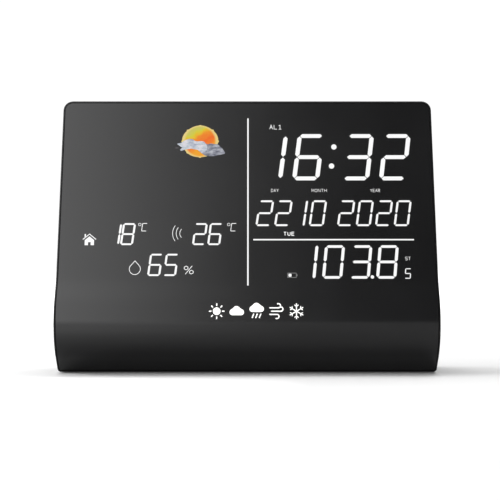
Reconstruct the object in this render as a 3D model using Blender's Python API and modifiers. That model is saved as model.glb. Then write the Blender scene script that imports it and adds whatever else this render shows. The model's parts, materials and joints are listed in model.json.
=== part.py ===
"""Home weather station for a desk: a leaning display behind a curved smoked panel.

The shell is a front case and a rear cover that meet at an upright parting plane. The front
surface leans back, then rolls forward into a rounded chin and back under to the sole.
X runs to the viewer's right, Y from front to back and Z up. The origin is on the desk under
the middle of the object. Depths are measured from the foremost point of the chin.
"""

import math

import bmesh
import bpy
from mathutils import Matrix, Vector

# ---------------------------------------------------------------- driving dimensions (metres)
WIDTH = 0.200
HEIGHT = 0.146
DEPTH = 0.059
FOOT_LIFT = 0.0005  # daylight between the sole and the desk
GAP = 0.0003  # clearance between pieces that touch
WALL = 0.002

# Front surface, from the top down: lean, crease, chin slope, chin arc, undercut.
LEAN = math.radians(18.0)
CHIN_SLOPE = math.radians(33.0)
UNDERCUT = math.radians(48.0)
CHIN_HEIGHT = 0.027
CHIN_RADIUS = 0.025
CREASE_HEIGHT = 0.0497
CREASE_RADIUS = 0.030

CORNER_TOP = 0.005
CORNER_SOLE = 0.0015
RIM = 0.0009  # width of the case edge that shows round the panel
RIM_ROUND = 0.0007
LENS_THICKNESS = 0.002
PARTING_DEPTH = 0.047
TONGUE = 0.0015  # how far the rear cover's tongue reaches into the front case
TONGUE_INSET = 0.0010
BACK_DEPTH = 0.058
BACK_ROUND = 0.0020

# Display stack, measured square to the leaning face from its outer surface.
DISPLAY_HEIGHT = 0.0914  # height of the display's centre
WINDOW_HALF = (0.0895, 0.0460)  # half width, and half height as seen from the front
LCD_SIZE = (0.1815, 0.1000, 0.0018)
GUIDE_SIZE = (0.1795, 0.0960, 0.0022)
TRAY_WALL = 0.0010
TRAY_FLOOR = 0.0010
LCD_START = 0.0044
GUIDE_START = LCD_START + LCD_SIZE[2] + GAP
TRAY_DEPTH = LCD_SIZE[2] + GUIDE_SIZE[2] + 2 * GAP + TRAY_FLOOR
TRAY_SIZE = (LCD_SIZE[0] + 2 * (GAP + TRAY_WALL), LCD_SIZE[1] + 2 * (GAP + TRAY_WALL), TRAY_DEPTH)
BOARD_START = LCD_START + TRAY_DEPTH + 0.0013
BOARD_THICKNESS = 0.0013

# Controls on the back and the top.
BUTTON_NAMES = ("alarm", "mode", "up", "down", "radio", "channel")
BUTTON_PITCH = 0.022
BUTTON_HEIGHT = 0.120
BUTTON_SIZE = (0.014, 0.0065)
BUTTON_TRAVEL = 0.0008
PLUNGER = 0.0021  # how far a plunger reaches past the inside of the wall
FLANGE = 0.0012  # how far a cap's flange reaches past its slot
SNOOZE_SIZE = (0.064, 0.0070)
SNOOZE_DEPTH = 0.052
SNOOZE_PROUD = 0.0002
SNOOZE_TRAVEL = 0.0005
SWITCH_LENGTH = 0.0037  # body and stem of a push switch
PRESS_ROOM = 0.0002  # what is left between a pressed key and its switch

# Battery bay, in the lower half of the rear cover.
CELL_RADIUS = 0.0051
CELL_LENGTH = 0.0435
NUB_RADIUS = 0.0019
NUB_LENGTH = 0.0010
CELL_PITCH = 0.012
CELL_DEPTH = 0.0500
BAY_CENTRE = (-0.038, 0.030)
BAY_INSIDE = (0.052, 0.0374)
BAY_FLOOR_DEPTH = 0.0442
DOOR_SIZE = (0.060, 0.044)
DOOR_THICKNESS = 0.0017

SPEAKER_CENTRE = (0.050, 0.066)
SPEAKER_RADIUS = 0.020
GRILLE_RADIUS = 0.017
VENT_CENTRE = (-0.083, 0.085)

IO_BOARD_TOP = 0.0181
USB_X = 0.055
JACK_X = 0.074
SWITCH_X = 0.033
GROMMET_CENTRE = (0.088, 0.046)

SCREW_X = 0.0954
SCREW_HEIGHTS = (0.012, 0.134)
SCREW_HEAD_RADIUS = 0.0020
SCREW_RADIUS = 0.0010
BOSS_RADIUS = 0.0027
SCREW_REACH = 0.0060  # how far a screw goes into the front case
FOOT_RADIUS = 0.0040
FOOT_X = 0.080
FOOT_DEPTHS = (0.0300, 0.0523)
FOOT_THICKNESS = 0.0015
FOOT_TAPER = 0.0004  # how much narrower a foot is at the desk

# ---------------------------------------------------------------- finishes
FINISHES = {  # name: (colour, roughness, metallic)
    "smoked_panel": ((0.012, 0.012, 0.013), 0.22, 0.0),
    "case_black": ((0.010, 0.010, 0.011), 0.45, 0.0),
    "cover_black": ((0.014, 0.014, 0.015), 0.55, 0.0),
    "key_black": ((0.020, 0.020, 0.022), 0.50, 0.0),
    "rubber_black": ((0.015, 0.015, 0.015), 0.85, 0.0),
    "screw_steel": ((0.45, 0.45, 0.46), 0.35, 1.0),
    "contact_steel": ((0.70, 0.69, 0.66), 0.30, 1.0),
    "display_glass": ((0.020, 0.022, 0.026), 0.08, 0.0),
    "guide_clear": ((0.80, 0.84, 0.86), 0.10, 0.0),
    "tray_white": ((0.82, 0.82, 0.80), 0.50, 0.0),
    "board_green": ((0.020, 0.110, 0.045), 0.40, 0.0),
    "chip_black": ((0.018, 0.018, 0.018), 0.50, 0.0),
    "ribbon_amber": ((0.480, 0.260, 0.060), 0.35, 0.0),
    "copper_wire": ((0.720, 0.380, 0.200), 0.30, 1.0),
    "cell_jacket": ((0.050, 0.120, 0.300), 0.30, 0.3),
    "cone_paper": ((0.045, 0.045, 0.045), 0.80, 0.0),
    "sensor_white": ((0.750, 0.750, 0.730), 0.40, 0.0),
}


def start_clean():
    """Removes what the startup scene holds."""
    for old in list(bpy.data.objects):
        bpy.data.objects.remove(old, do_unlink=True)


def new_collection(name):
    """Adds a collection to the scene."""
    made = bpy.data.collections.new(name)
    bpy.context.scene.collection.children.link(made)
    return made


start_clean()
STATION = new_collection("weather_station")
CUTTERS = new_collection("cutters")
CUTTERS.hide_render = True


# ---------------------------------------------------------------- geometry of the front surface
def at_depth(depth):
    """Y of a depth behind the foremost point of the chin."""
    return depth - DEPTH / 2


CHIN_TOP_HEIGHT = CHIN_HEIGHT + CHIN_RADIUS * math.sin(CHIN_SLOPE)
CHIN_TOP_DEPTH = CHIN_RADIUS * (1 - math.cos(CHIN_SLOPE))
CHIN_LOW_HEIGHT = CHIN_HEIGHT - CHIN_RADIUS * math.sin(UNDERCUT)
CHIN_LOW_DEPTH = CHIN_RADIUS * (1 - math.cos(UNDERCUT))
CREASE_DEPTH = CHIN_TOP_DEPTH + (CREASE_HEIGHT - CHIN_TOP_HEIGHT) * math.tan(CHIN_SLOPE)
CREASE_RUN = CREASE_RADIUS * math.tan((CHIN_SLOPE - LEAN) / 2)
CREASE_TOP = CREASE_HEIGHT + CREASE_RUN * math.cos(LEAN)
CREASE_LOW = CREASE_HEIGHT - CREASE_RUN * math.cos(CHIN_SLOPE)
# Centre of the hollow arc that eases the crease, in front of the surface.
CREASE_CENTRE_HEIGHT = CREASE_TOP + CREASE_RADIUS * math.sin(LEAN)
CREASE_CENTRE_DEPTH = (
    CREASE_DEPTH + CREASE_RUN * math.sin(LEAN) - CREASE_RADIUS * math.cos(LEAN)
)


def front_y(height):
    """Y of the outer front surface at a height above the desk."""
    if height >= CREASE_TOP:
        depth = CREASE_DEPTH + (height - CREASE_HEIGHT) * math.tan(LEAN)
    elif height >= CREASE_LOW:
        rise = height - CREASE_CENTRE_HEIGHT
        depth = CREASE_CENTRE_DEPTH + math.sqrt(CREASE_RADIUS**2 - rise**2)
    elif height >= CHIN_TOP_HEIGHT:
        depth = CHIN_TOP_DEPTH + (height - CHIN_TOP_HEIGHT) * math.tan(CHIN_SLOPE)
    elif height >= CHIN_LOW_HEIGHT:
        depth = CHIN_RADIUS - math.sqrt(CHIN_RADIUS**2 - (height - CHIN_HEIGHT) ** 2)
    else:
        depth = CHIN_LOW_DEPTH + (CHIN_LOW_HEIGHT - height) * math.tan(UNDERCUT)
    return at_depth(depth)


def front_levels():
    """Heights where a mesh of the front surface needs a row of points."""
    below = [CHIN_HEIGHT - CHIN_RADIUS * math.sin(UNDERCUT * k / 6) for k in range(6, 0, -1)]
    above = [CHIN_HEIGHT + CHIN_RADIUS * math.sin(CHIN_SLOPE * k / 4) for k in range(5)]
    crease = [CREASE_LOW + (CREASE_TOP - CREASE_LOW) * k / 3 for k in range(4)]
    return below + above + crease


# ---------------------------------------------------------------- building blocks
def material(finish):
    """The Principled material of a finish, made once."""
    found = bpy.data.materials.get(finish)
    if found:
        return found
    colour, roughness, metallic = FINISHES[finish]
    made = bpy.data.materials.new(finish)
    made.use_nodes = True
    shader = made.node_tree.nodes["Principled BSDF"]
    shader.inputs["Base Color"].default_value = (*colour, 1.0)
    shader.inputs["Roughness"].default_value = roughness
    shader.inputs["Metallic"].default_value = metallic
    made.diffuse_color = (*colour, 1.0)
    return made


def finish_object(name, bm, finish, parent=None, smooth=35.0):
    """Turns a bmesh into a named object with its finish."""
    bmesh.ops.recalc_face_normals(bm, faces=bm.faces)
    mesh = bpy.data.meshes.new(name)
    bm.to_mesh(mesh)
    bm.free()
    mesh.shade_smooth()
    mesh.set_sharp_from_angle(angle=math.radians(smooth))
    made = bpy.data.objects.new(name, mesh)
    STATION.objects.link(made)
    if finish:
        mesh.materials.append(material(finish))
    made.parent = parent
    return made


def box_mesh(bm, size, centre=(0.0, 0.0, 0.0)):
    """Adds a box to a bmesh."""
    place = Matrix.Translation(centre) @ Matrix.Diagonal((*size, 1.0))
    return bmesh.ops.create_cube(bm, size=1.0, matrix=place)["verts"]


def box(name, size, centre, finish=None, parent=None, bevel=0.0):
    """A box with its origin at its centre and its edges eased by bevel."""
    bm = bmesh.new()
    box_mesh(bm, size)
    if bevel:
        bmesh.ops.bevel(
            bm, geom=bm.edges[:], offset=bevel, segments=2, profile=0.5,
            affect="EDGES", material=-1,
        )
    made = finish_object(name, bm, finish, parent)
    made.location = centre
    return made


AXIS_TURNS = {
    "X": Matrix.Rotation(math.radians(90), 4, "Y"),
    "Y": Matrix.Rotation(math.radians(-90), 4, "X"),
    "Z": Matrix.Identity(4),
}


def disc(name, radius, length, centre, axis="Y", segments=24, finish=None, top_radius=None):
    """A cylinder or cone along an axis, with its origin at its centre."""
    bm = bmesh.new()
    bmesh.ops.create_cone(
        bm, cap_ends=True, segments=segments, radius1=radius,
        radius2=radius if top_radius is None else top_radius, depth=length,
        matrix=AXIS_TURNS[axis],
    )
    made = finish_object(name, bm, finish)
    made.location = centre
    return made


def marker(name, place):
    """An empty that pieces are parented to."""
    made = bpy.data.objects.new(name, None)
    STATION.objects.link(made)
    made.location = place
    return made


def boolean(target, other, operation):
    """Cuts other from target, or joins it to target. The other object becomes a hidden helper."""
    modifier = target.modifiers.new(f"{operation.lower()}_{other.name}", "BOOLEAN")
    modifier.operation = operation
    modifier.solver = "EXACT"
    modifier.object = other
    other.hide_render = True
    other.display_type = "WIRE"
    for owner in list(other.users_collection):
        owner.objects.unlink(other)
    CUTTERS.objects.link(other)


def cut(target, *cutters):
    """Cuts each cutter from target."""
    for cutter in cutters:
        boolean(target, cutter, "DIFFERENCE")


def join(target, *others):
    """Joins each other object to target."""
    for other in others:
        boolean(target, other, "UNION")


def rounded_outline(half_width, low, high, round_low, round_high):
    """Points (x, z) of an upright rectangle with rounded corners, anticlockwise from the front."""
    corners = (
        (half_width - round_low, low + round_low, round_low, -90, 3),
        (half_width - round_high, high - round_high, round_high, 0, 6),
        (round_high - half_width, high - round_high, round_high, 90, 6),
        (round_low - half_width, low + round_low, round_low, 180, 3),
    )
    points = []
    for x, z, radius, start, steps in corners:
        for k in range(steps + 1):
            turn = math.radians(start + 90 * k / steps)
            points.append((x + radius * math.cos(turn), z + radius * math.sin(turn)))
    return points


def draped_block(name, outline, front, back, finish=None, front_round=0.0, back_round=0.0):
    """A solid with an outline seen from the front, whose front and back follow functions of height."""
    bm = bmesh.new()
    face = bm.faces.new([bm.verts.new((x, 0.0, z)) for x, z in outline])
    grown = bmesh.ops.extrude_face_region(bm, geom=[face])["geom"]
    moved = [v for v in grown if isinstance(v, bmesh.types.BMVert)]
    bmesh.ops.translate(bm, verts=moved, vec=(0.0, 1.0, 0.0))
    for level in front_levels():
        bmesh.ops.bisect_plane(
            bm, geom=bm.verts[:] + bm.edges[:] + bm.faces[:], dist=1e-7,
            plane_co=(0.0, 0.0, level), plane_no=(0.0, 0.0, 1.0),
        )
    bmesh.ops.recalc_face_normals(bm, faces=bm.faces)
    rims = {0.0: [], 1.0: []}
    for edge in bm.edges:
        ends = {round(v.co.y, 3) for v in edge.verts}
        facing = [abs(f.normal.y) > 0.5 for f in edge.link_faces]
        if len(ends) == 1 and sorted(facing) == [False, True]:
            rims[ends.pop()].append(edge)
    for v in bm.verts:
        v.co.y = front(v.co.z) if v.co.y < 0.5 else back(v.co.z)
    for edges, radius in ((rims[0.0], front_round), (rims[1.0], back_round)):
        if radius:
            bmesh.ops.bevel(
                bm, geom=edges, offset=radius, segments=2, profile=0.5,
                affect="EDGES", material=-1, clamp_overlap=True,
            )
    return finish_object(name, bm, finish)


def strip(name, path, half_width, thickness, finish, parent=None):
    """A thin band that follows a path of (y, z) points and spans half_width each side of the middle."""
    bm = bmesh.new()
    rows = [
        [bm.verts.new((side * half_width, y, z)) for side in (-1, 1)] for y, z in path
    ]
    for low, high in zip(rows, rows[1:]):
        bm.faces.new((low[0], low[1], high[1], high[0]))
    made = finish_object(name, bm, finish, parent)
    solid = made.modifiers.new("thickness", "SOLIDIFY")
    solid.thickness = thickness
    solid.offset = 0.0
    return made


def coil(name, start, radius, wire_radius, length, turns, axis, finish):
    """A wire coil along an axis, from a start point."""
    steps = 9
    curve = bpy.data.curves.new(name, "CURVE")
    curve.dimensions = "3D"
    curve.bevel_depth = wire_radius
    curve.bevel_resolution = 2
    curve.use_fill_caps = True
    spline = curve.splines.new("POLY")
    spline.points.add(turns * steps)
    for k, point in enumerate(spline.points):
        turn = 2 * math.pi * k / steps
        along = length * k / (turns * steps)
        local = Vector((radius * math.cos(turn), radius * math.sin(turn), along))
        point.co = (*(AXIS_TURNS[axis] @ local), 1.0)
    made = bpy.data.objects.new(name, curve)
    made.location = start
    curve.materials.append(material(finish))
    STATION.objects.link(made)
    return made


# ---------------------------------------------------------------- shells
def case_outline(inset):
    """The case's outline seen from the front, drawn in by inset."""
    return rounded_outline(
        WIDTH / 2 - inset, FOOT_LIFT + inset, HEIGHT - inset,
        max(CORNER_SOLE - inset, 0.0005), max(CORNER_TOP - inset, 0.001),
    )


def behind_front(offset):
    """A function of height: Y of the surface that lies offset behind the front."""
    return lambda height: front_y(height) + offset


def upright(depth):
    """A function of height: Y of an upright plane."""
    return lambda height: at_depth(depth)


def foot_recess(name, x, depth):
    """Cutter for the shallow pocket that a foot is stuck in."""
    centre = (x, at_depth(depth), FOOT_LIFT)
    return disc(name, FOOT_RADIUS + GAP, 2 * (FOOT_THICKNESS + GAP - FOOT_LIFT), centre, "Z")


def make_front_case():
    """Front case: rim, side walls, the wall behind the panel with the display window, and bosses."""
    seat = LENS_THICKNESS + GAP
    case = draped_block(
        "front_case", case_outline(0.0), front_y, upright(PARTING_DEPTH),
        "case_black", front_round=RIM_ROUND,
    )
    pocket = draped_block(
        "panel_pocket", case_outline(RIM), behind_front(-0.01), behind_front(seat)
    )
    cavity = draped_block(
        "case_cavity", case_outline(WALL), behind_front(seat + WALL),
        upright(PARTING_DEPTH + 0.01),
    )
    low, high = (DISPLAY_HEIGHT - WINDOW_HALF[1], DISPLAY_HEIGHT + WINDOW_HALF[1])
    window = draped_block(
        "display_window", rounded_outline(WINDOW_HALF[0], low, high, 0.001, 0.001),
        behind_front(-0.005), behind_front(0.012),
    )
    rebate = draped_block(
        "tongue_rebate", case_outline(TONGUE_INSET), upright(PARTING_DEPTH - TONGUE - GAP),
        upright(PARTING_DEPTH + 0.01),
    )
    cut(case, pocket, cavity, rebate, window)
    for side in (-1, 1):
        for height in SCREW_HEIGHTS:
            nearest = max(front_y(height - BOSS_RADIUS), front_y(height + BOSS_RADIUS))
            start = nearest + seat + WALL / 4
            end = at_depth(PARTING_DEPTH)
            centre = (side * SCREW_X, (start + end) / 2, height)
            boss = disc(f"boss_{side}_{height}", BOSS_RADIUS, end - start, centre, segments=16)
            join(case, boss)
            depth = min(end - start - 0.001, SCREW_REACH)
            bore_centre = (side * SCREW_X, end - depth / 2 + 0.001, height)
            bore_radius = SCREW_RADIUS + GAP
            bore = disc(f"bore_{side}_{height}", bore_radius, depth + 0.002, bore_centre, segments=12)
            cut(case, bore)
        cut(case, foot_recess(f"front_recess_{side}", side * FOOT_X, FOOT_DEPTHS[0]))
    return case


def make_front_lens():
    """Smoked panel that covers the whole front and curls under the chin."""
    return draped_block(
        "front_lens", case_outline(RIM + GAP), front_y, behind_front(LENS_THICKNESS),
        "smoked_panel",
    )


def slot_cutter(name, size, centre, bevel=0.0):
    """Cutter through the rear wall: size is (width, height), centre is (x, height)."""
    cutter = box(name, (size[0], 0.008, size[1]), (centre[0], at_depth(BACK_DEPTH), centre[1]))
    if bevel:
        edges = cutter.modifiers.new("corners", "BEVEL")
        edges.width = bevel
        edges.segments = 3
    return cutter


def grille_cutter():
    """Slots that fill a circle in front of the speaker."""
    bm = bmesh.new()
    pitch, height, rows = 0.0042, 0.0019, 8
    for row in range(rows):
        rise = (row - (rows - 1) / 2) * pitch
        length = 2 * math.sqrt(GRILLE_RADIUS**2 - rise**2)
        centre = (SPEAKER_CENTRE[0], at_depth(BACK_DEPTH), SPEAKER_CENTRE[1] + rise)
        box_mesh(bm, (length, 0.008, height), centre)
    return finish_object("grille_slots", bm, None)


def vent_cutter():
    """Slots that let room air reach the sensors."""
    bm = bmesh.new()
    for row in range(6):
        rise = (row - 2.5) * 0.0045
        centre = (VENT_CENTRE[0], at_depth(BACK_DEPTH), VENT_CENTRE[1] + rise)
        box_mesh(bm, (0.016, 0.008, 0.0018), centre)
    return finish_object("vent_slots", bm, None)


def button_x(index):
    """X of a rear button. Seen from behind they run from left to right."""
    return ((len(BUTTON_NAMES) - 1) / 2 - index) * BUTTON_PITCH


def make_rear_cover():
    """Rear cover with its tongue, battery bay, slots, grille and screw holes."""
    start = PARTING_DEPTH + GAP
    cover = draped_block(
        "rear_cover", case_outline(0.0), upright(start), upright(BACK_DEPTH),
        "cover_black", back_round=BACK_ROUND,
    )
    tongue = draped_block(
        "cover_tongue", case_outline(TONGUE_INSET + GAP), upright(start - TONGUE),
        upright(start + 0.001),
    )
    cavity = draped_block(
        "cover_cavity", case_outline(WALL), upright(start - 0.01), upright(BACK_DEPTH - WALL)
    )
    bay_x, bay_z = BAY_CENTRE
    bay_walls = box(
        "bay_walls",
        (BAY_INSIDE[0] + 0.010, BACK_DEPTH - WALL / 2 - BAY_FLOOR_DEPTH + 0.0012, BAY_INSIDE[1] + 0.009),
        (bay_x, at_depth((BACK_DEPTH - WALL / 2 + BAY_FLOOR_DEPTH - 0.0012) / 2), bay_z),
    )
    bay_space = box(
        "bay_space", (BAY_INSIDE[0], 0.02, BAY_INSIDE[1]),
        (bay_x, at_depth(BAY_FLOOR_DEPTH + 0.01), bay_z),
    )
    door_seat = box(
        "door_seat", (DOOR_SIZE[0] + 2 * GAP, 0.01, DOOR_SIZE[1] + 2 * GAP),
        (bay_x, at_depth(BACK_DEPTH - DOOR_THICKNESS - GAP + 0.005), bay_z),
    )
    reliefs = []  # room in the tongue and the walls for the case's screw bosses
    for side in (-1, 1):
        for height in SCREW_HEIGHTS:
            relief_centre = (side * SCREW_X, at_depth(start - 0.0025), height)
            reliefs.append(
                disc(f"relief_{side}_{height}", BOSS_RADIUS + GAP, 0.005, relief_centre, segments=16)
            )
    join(cover, tongue)
    cut(cover, cavity, *reliefs)
    for side in (-1, 1):
        for height in SCREW_HEIGHTS:
            post_start, post_end = at_depth(start), at_depth(BACK_DEPTH - WALL / 2)
            centre = (side * SCREW_X, (post_start + post_end) / 2, height)
            post = disc(f"post_{side}_{height}", BOSS_RADIUS, post_end - post_start, centre, segments=16)
            join(cover, post)
            hole_centre = (side * SCREW_X, at_depth(start + 0.006), height)
            hole = disc(f"clearance_{side}_{height}", SCREW_RADIUS + GAP, 0.02, hole_centre, segments=12)
            head_length = 0.004
            head_centre = (side * SCREW_X, at_depth(BACK_DEPTH - 0.0022 + head_length / 2), height)
            seat = disc(
                f"head_seat_{side}_{height}", SCREW_HEAD_RADIUS + GAP, head_length, head_centre,
                segments=18,
            )
            cut(cover, hole, seat)
        cut(cover, foot_recess(f"rear_recess_{side}", side * FOOT_X, FOOT_DEPTHS[1]))
    join(cover, bay_walls)
    cut(cover, bay_space, door_seat, grille_cutter(), vent_cutter())
    for index in range(len(BUTTON_NAMES)):
        size = (BUTTON_SIZE[0] + 2 * GAP, BUTTON_SIZE[1] + 2 * GAP)
        cut(cover, slot_cutter(f"button_slot_{index}", size, (button_x(index), BUTTON_HEIGHT)))
    usb_centre = (USB_X, IO_BOARD_TOP + GAP + 0.0029)
    jack_z = IO_BOARD_TOP + GAP + 0.0055
    cut(
        cover,
        slot_cutter("usb_opening", (0.0138, 0.0064), usb_centre),
        slot_cutter("switch_slot", (0.0106, 0.0046), (SWITCH_X, IO_BOARD_TOP + GAP + 0.0030)),
        disc(
            "jack_opening", 0.0042, 0.008, (JACK_X, at_depth(BACK_DEPTH), jack_z), segments=20,
        ),
        disc(
            "grommet_opening", 0.0029, 0.008,
            (GROMMET_CENTRE[0], at_depth(BACK_DEPTH), GROMMET_CENTRE[1]), segments=16,
        ),
        box(
            "snooze_opening", (SNOOZE_SIZE[0] + 2 * GAP, SNOOZE_SIZE[1] + 2 * GAP, 0.008),
            (0.0, at_depth(SNOOZE_DEPTH), HEIGHT),
        ),
    )
    return cover


def make_battery_door():
    """Door of the battery bay, on an empty at the lower edge that it tilts about."""
    x, z = BAY_CENTRE
    hinge = marker("door_hinge", (x, at_depth(BACK_DEPTH), z - DOOR_SIZE[1] / 2))
    door = box(
        "battery_door", (DOOR_SIZE[0], DOOR_THICKNESS, DOOR_SIZE[1]),
        (0.0, -DOOR_THICKNESS / 2, DOOR_SIZE[1] / 2), "cover_black", hinge, bevel=0.0003,
    )
    grip = box(
        "door_grip", (0.016, 0.002, 0.0016),
        (x, at_depth(BACK_DEPTH + 0.0004), z + DOOR_SIZE[1] / 2 - 0.005),
    )
    for row in range(2):
        line = box(
            f"door_line_{row}", (0.012, 0.002, 0.0012),
            (x, at_depth(BACK_DEPTH + 0.0004), z + DOOR_SIZE[1] / 2 - 0.0085 - 0.003 * row),
        )
        cut(door, line)
    cut(door, grip)
    return door


# ---------------------------------------------------------------- display stack
def display_origin():
    """An empty on the leaning face: local X right, local Y into the object, local Z up the face."""
    empty = marker("display_origin", (0.0, front_y(DISPLAY_HEIGHT), DISPLAY_HEIGHT))
    empty.rotation_euler = (-LEAN, 0.0, 0.0)
    return empty


def layer(name, size, start, finish, parent, centre=(0.0, 0.0), bevel=0.0):
    """A flat plate of the display stack, whose outer face is start behind the panel's surface."""
    return box(
        name, (size[0], size[2], size[1]), (centre[0], start + size[2] / 2, centre[1]),
        finish, parent, bevel,
    )


def make_display(origin):
    """Display glass, light guide, its lamp strip and the tray that carries them."""
    layer("lcd_glass", LCD_SIZE, LCD_START, "display_glass", origin)
    layer("light_guide", GUIDE_SIZE, GUIDE_START, "guide_clear", origin)
    tray = layer("display_tray", TRAY_SIZE, LCD_START, "tray_white", origin)
    pocket = layer(
        "tray_pocket",
        (LCD_SIZE[0] + 2 * GAP, LCD_SIZE[1] + 2 * GAP, TRAY_DEPTH - TRAY_FLOOR + 0.001),
        LCD_START - 0.001, None, origin, (0.0, 0.0),
    )
    mouth = layer(
        "ribbon_mouth", (0.076, 0.012, 0.0036), LCD_START - 0.001, None, origin,
        (0.0, -TRAY_SIZE[1] / 2),
    )
    cut(tray, pocket, mouth)
    layer(
        "backlight_strip", (0.180, 0.0010, 0.0023), GUIDE_START, "board_green", origin,
        (0.0, GUIDE_SIZE[1] / 2 + GAP + 0.0005),
    )
    back = BOARD_START + BOARD_THICKNESS + GAP
    path = ((LCD_START + 0.0008, -0.0506), (LCD_START + 0.0010, -0.0530), (LCD_START + 0.0035, -0.0548),
            (back, -0.0540), (back + 0.0006, -0.0500), (back + 0.0003, -0.0440))
    strip("lcd_ribbon", path, 0.034, 0.0002, "ribbon_amber", origin)


def make_main_board(origin):
    """Main board behind the tray, with its processor, tuner and receiver coil."""
    layer("main_board", (0.150, 0.062, BOARD_THICKNESS), BOARD_START, "board_green", origin, (0.0, -0.018))
    back = BOARD_START + BOARD_THICKNESS + GAP
    layer("processor_chip", (0.016, 0.016, 0.0016), back, "chip_black", origin, (-0.020, -0.010), 0.0002)
    layer("tuner_can", (0.022, 0.018, 0.0030), back, "contact_steel", origin, (0.020, -0.008), 0.0004)


def make_receiver_coil(origin):
    """Small helical aerial on the main board that hears the outdoor sensor."""
    radius, wire = 0.0020, 0.0004
    back = BOARD_START + BOARD_THICKNESS + GAP + radius + wire
    made = coil("receiver_coil", (-0.072, back, -0.006), radius, wire, 0.012, 6, "X", "copper_wire")
    made.parent = origin


# ---------------------------------------------------------------- controls
def make_button(index, name):
    """A cap with a flange inside the cover and a short plunger, as one piece."""
    x = button_x(index)
    inside = BACK_DEPTH - WALL - GAP
    cap = box(
        f"{name}_button", (BUTTON_SIZE[0], DEPTH - inside, BUTTON_SIZE[1]),
        (x, at_depth((DEPTH + inside) / 2), BUTTON_HEIGHT), "key_black", bevel=0.0004,
    )
    flange_depth = 0.0010
    flange = box(
        f"{name}_flange",
        (BUTTON_SIZE[0] + 2 * FLANGE, flange_depth, BUTTON_SIZE[1] + 2 * FLANGE),
        (x, at_depth(inside - flange_depth / 2), BUTTON_HEIGHT),
    )
    plunger = disc(
        f"{name}_plunger", 0.0015, PLUNGER, (x, at_depth(inside - PLUNGER / 2), BUTTON_HEIGHT), segments=12
    )
    cap_root = box(
        f"{name}_root", (BUTTON_SIZE[0] - 0.001, 0.0012, BUTTON_SIZE[1] - 0.001),
        (x, at_depth(inside), BUTTON_HEIGHT),
    )
    join(cap, cap_root, flange, plunger)


def make_key_switch(name, centre, axis, finish="chip_black"):
    """A push switch: square body and round stem that points along an axis, as one piece."""
    body_length, stem_length = 0.0030, 0.0014
    along = {"Y": Vector((0, 1, 0)), "Z": Vector((0, 0, 1))}[axis]
    size = Vector((0.006, 0.006, 0.006)) - along * (0.006 - body_length)
    switch = box(name, size, Vector(centre) + along * body_length / 2, finish, bevel=0.0002)
    stem_centre = Vector(centre) + along * (body_length + stem_length / 2 - 0.0007)
    join(switch, disc(f"{name}_stem", 0.0014, stem_length, stem_centre, axis, 12))


def behind_board(height):
    """Y of the main board's back face at a height."""
    return front_y(height) + (BOARD_START + BOARD_THICKNESS) / math.cos(LEAN)


def make_keys():
    """Key board upright behind the six buttons, with a switch for each."""
    plunger_end = BACK_DEPTH - WALL - GAP - PLUNGER
    board_back = plunger_end - BUTTON_TRAVEL - PRESS_ROOM - SWITCH_LENGTH - GAP
    box(
        "key_board", (0.132, BOARD_THICKNESS, 0.013),
        (0.0, at_depth(board_back - BOARD_THICKNESS / 2), BUTTON_HEIGHT), "board_green",
    )
    for index, name in enumerate(BUTTON_NAMES):
        make_button(index, name)
        start = (button_x(index), at_depth(board_back + GAP), BUTTON_HEIGHT)
        make_key_switch(f"{name}_switch", start, "Y")
    high = at_depth(board_back - 0.0010)
    low_height = 0.088
    low = behind_board(low_height) + 0.0008
    landing_height = low_height + 0.006
    landing = behind_board(landing_height) + 0.0008
    path = (
        (high, BUTTON_HEIGHT - 0.0072), (high - 0.0005, BUTTON_HEIGHT - 0.0130),
        ((high + low) / 2 + 0.0015, BUTTON_HEIGHT - 0.0200), (landing, landing_height), (low, low_height),
    )
    strip("key_ribbon", path, 0.008, 0.0003, "ribbon_amber")


def make_snooze():
    """Long bar in the top of the rear cover, and the switch under it."""
    y = at_depth(SNOOZE_DEPTH)
    inside = HEIGHT - WALL - GAP
    top = HEIGHT + SNOOZE_PROUD
    bar = box(
        "snooze_bar", (SNOOZE_SIZE[0], SNOOZE_SIZE[1], top - inside),
        (0.0, y, (top + inside) / 2), "key_black", bevel=0.0003,
    )
    flange_height = 0.0010
    flange = box(
        "snooze_flange", (SNOOZE_SIZE[0] + 2 * FLANGE, SNOOZE_SIZE[1] - 0.001, flange_height),
        (0.0, y, inside - flange_height / 2),
    )
    root = box("snooze_root", (SNOOZE_SIZE[0] - 0.004, 0.005, 0.0012), (0.0, y, inside))
    plunger = disc("snooze_plunger", 0.0018, PLUNGER, (0.0, y, inside - PLUNGER / 2), "Z", 12)
    join(bar, root, flange, plunger)
    board_top = inside - PLUNGER - SNOOZE_TRAVEL - PRESS_ROOM - SWITCH_LENGTH - GAP
    board_y = at_depth(SNOOZE_DEPTH + 0.0008)
    box("snooze_board", (0.024, 0.0056, BOARD_THICKNESS),
        (0.0, board_y, board_top - BOARD_THICKNESS / 2), "board_green")
    make_key_switch("snooze_switch", (0.0, board_y, board_top + GAP), "Z")


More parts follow.
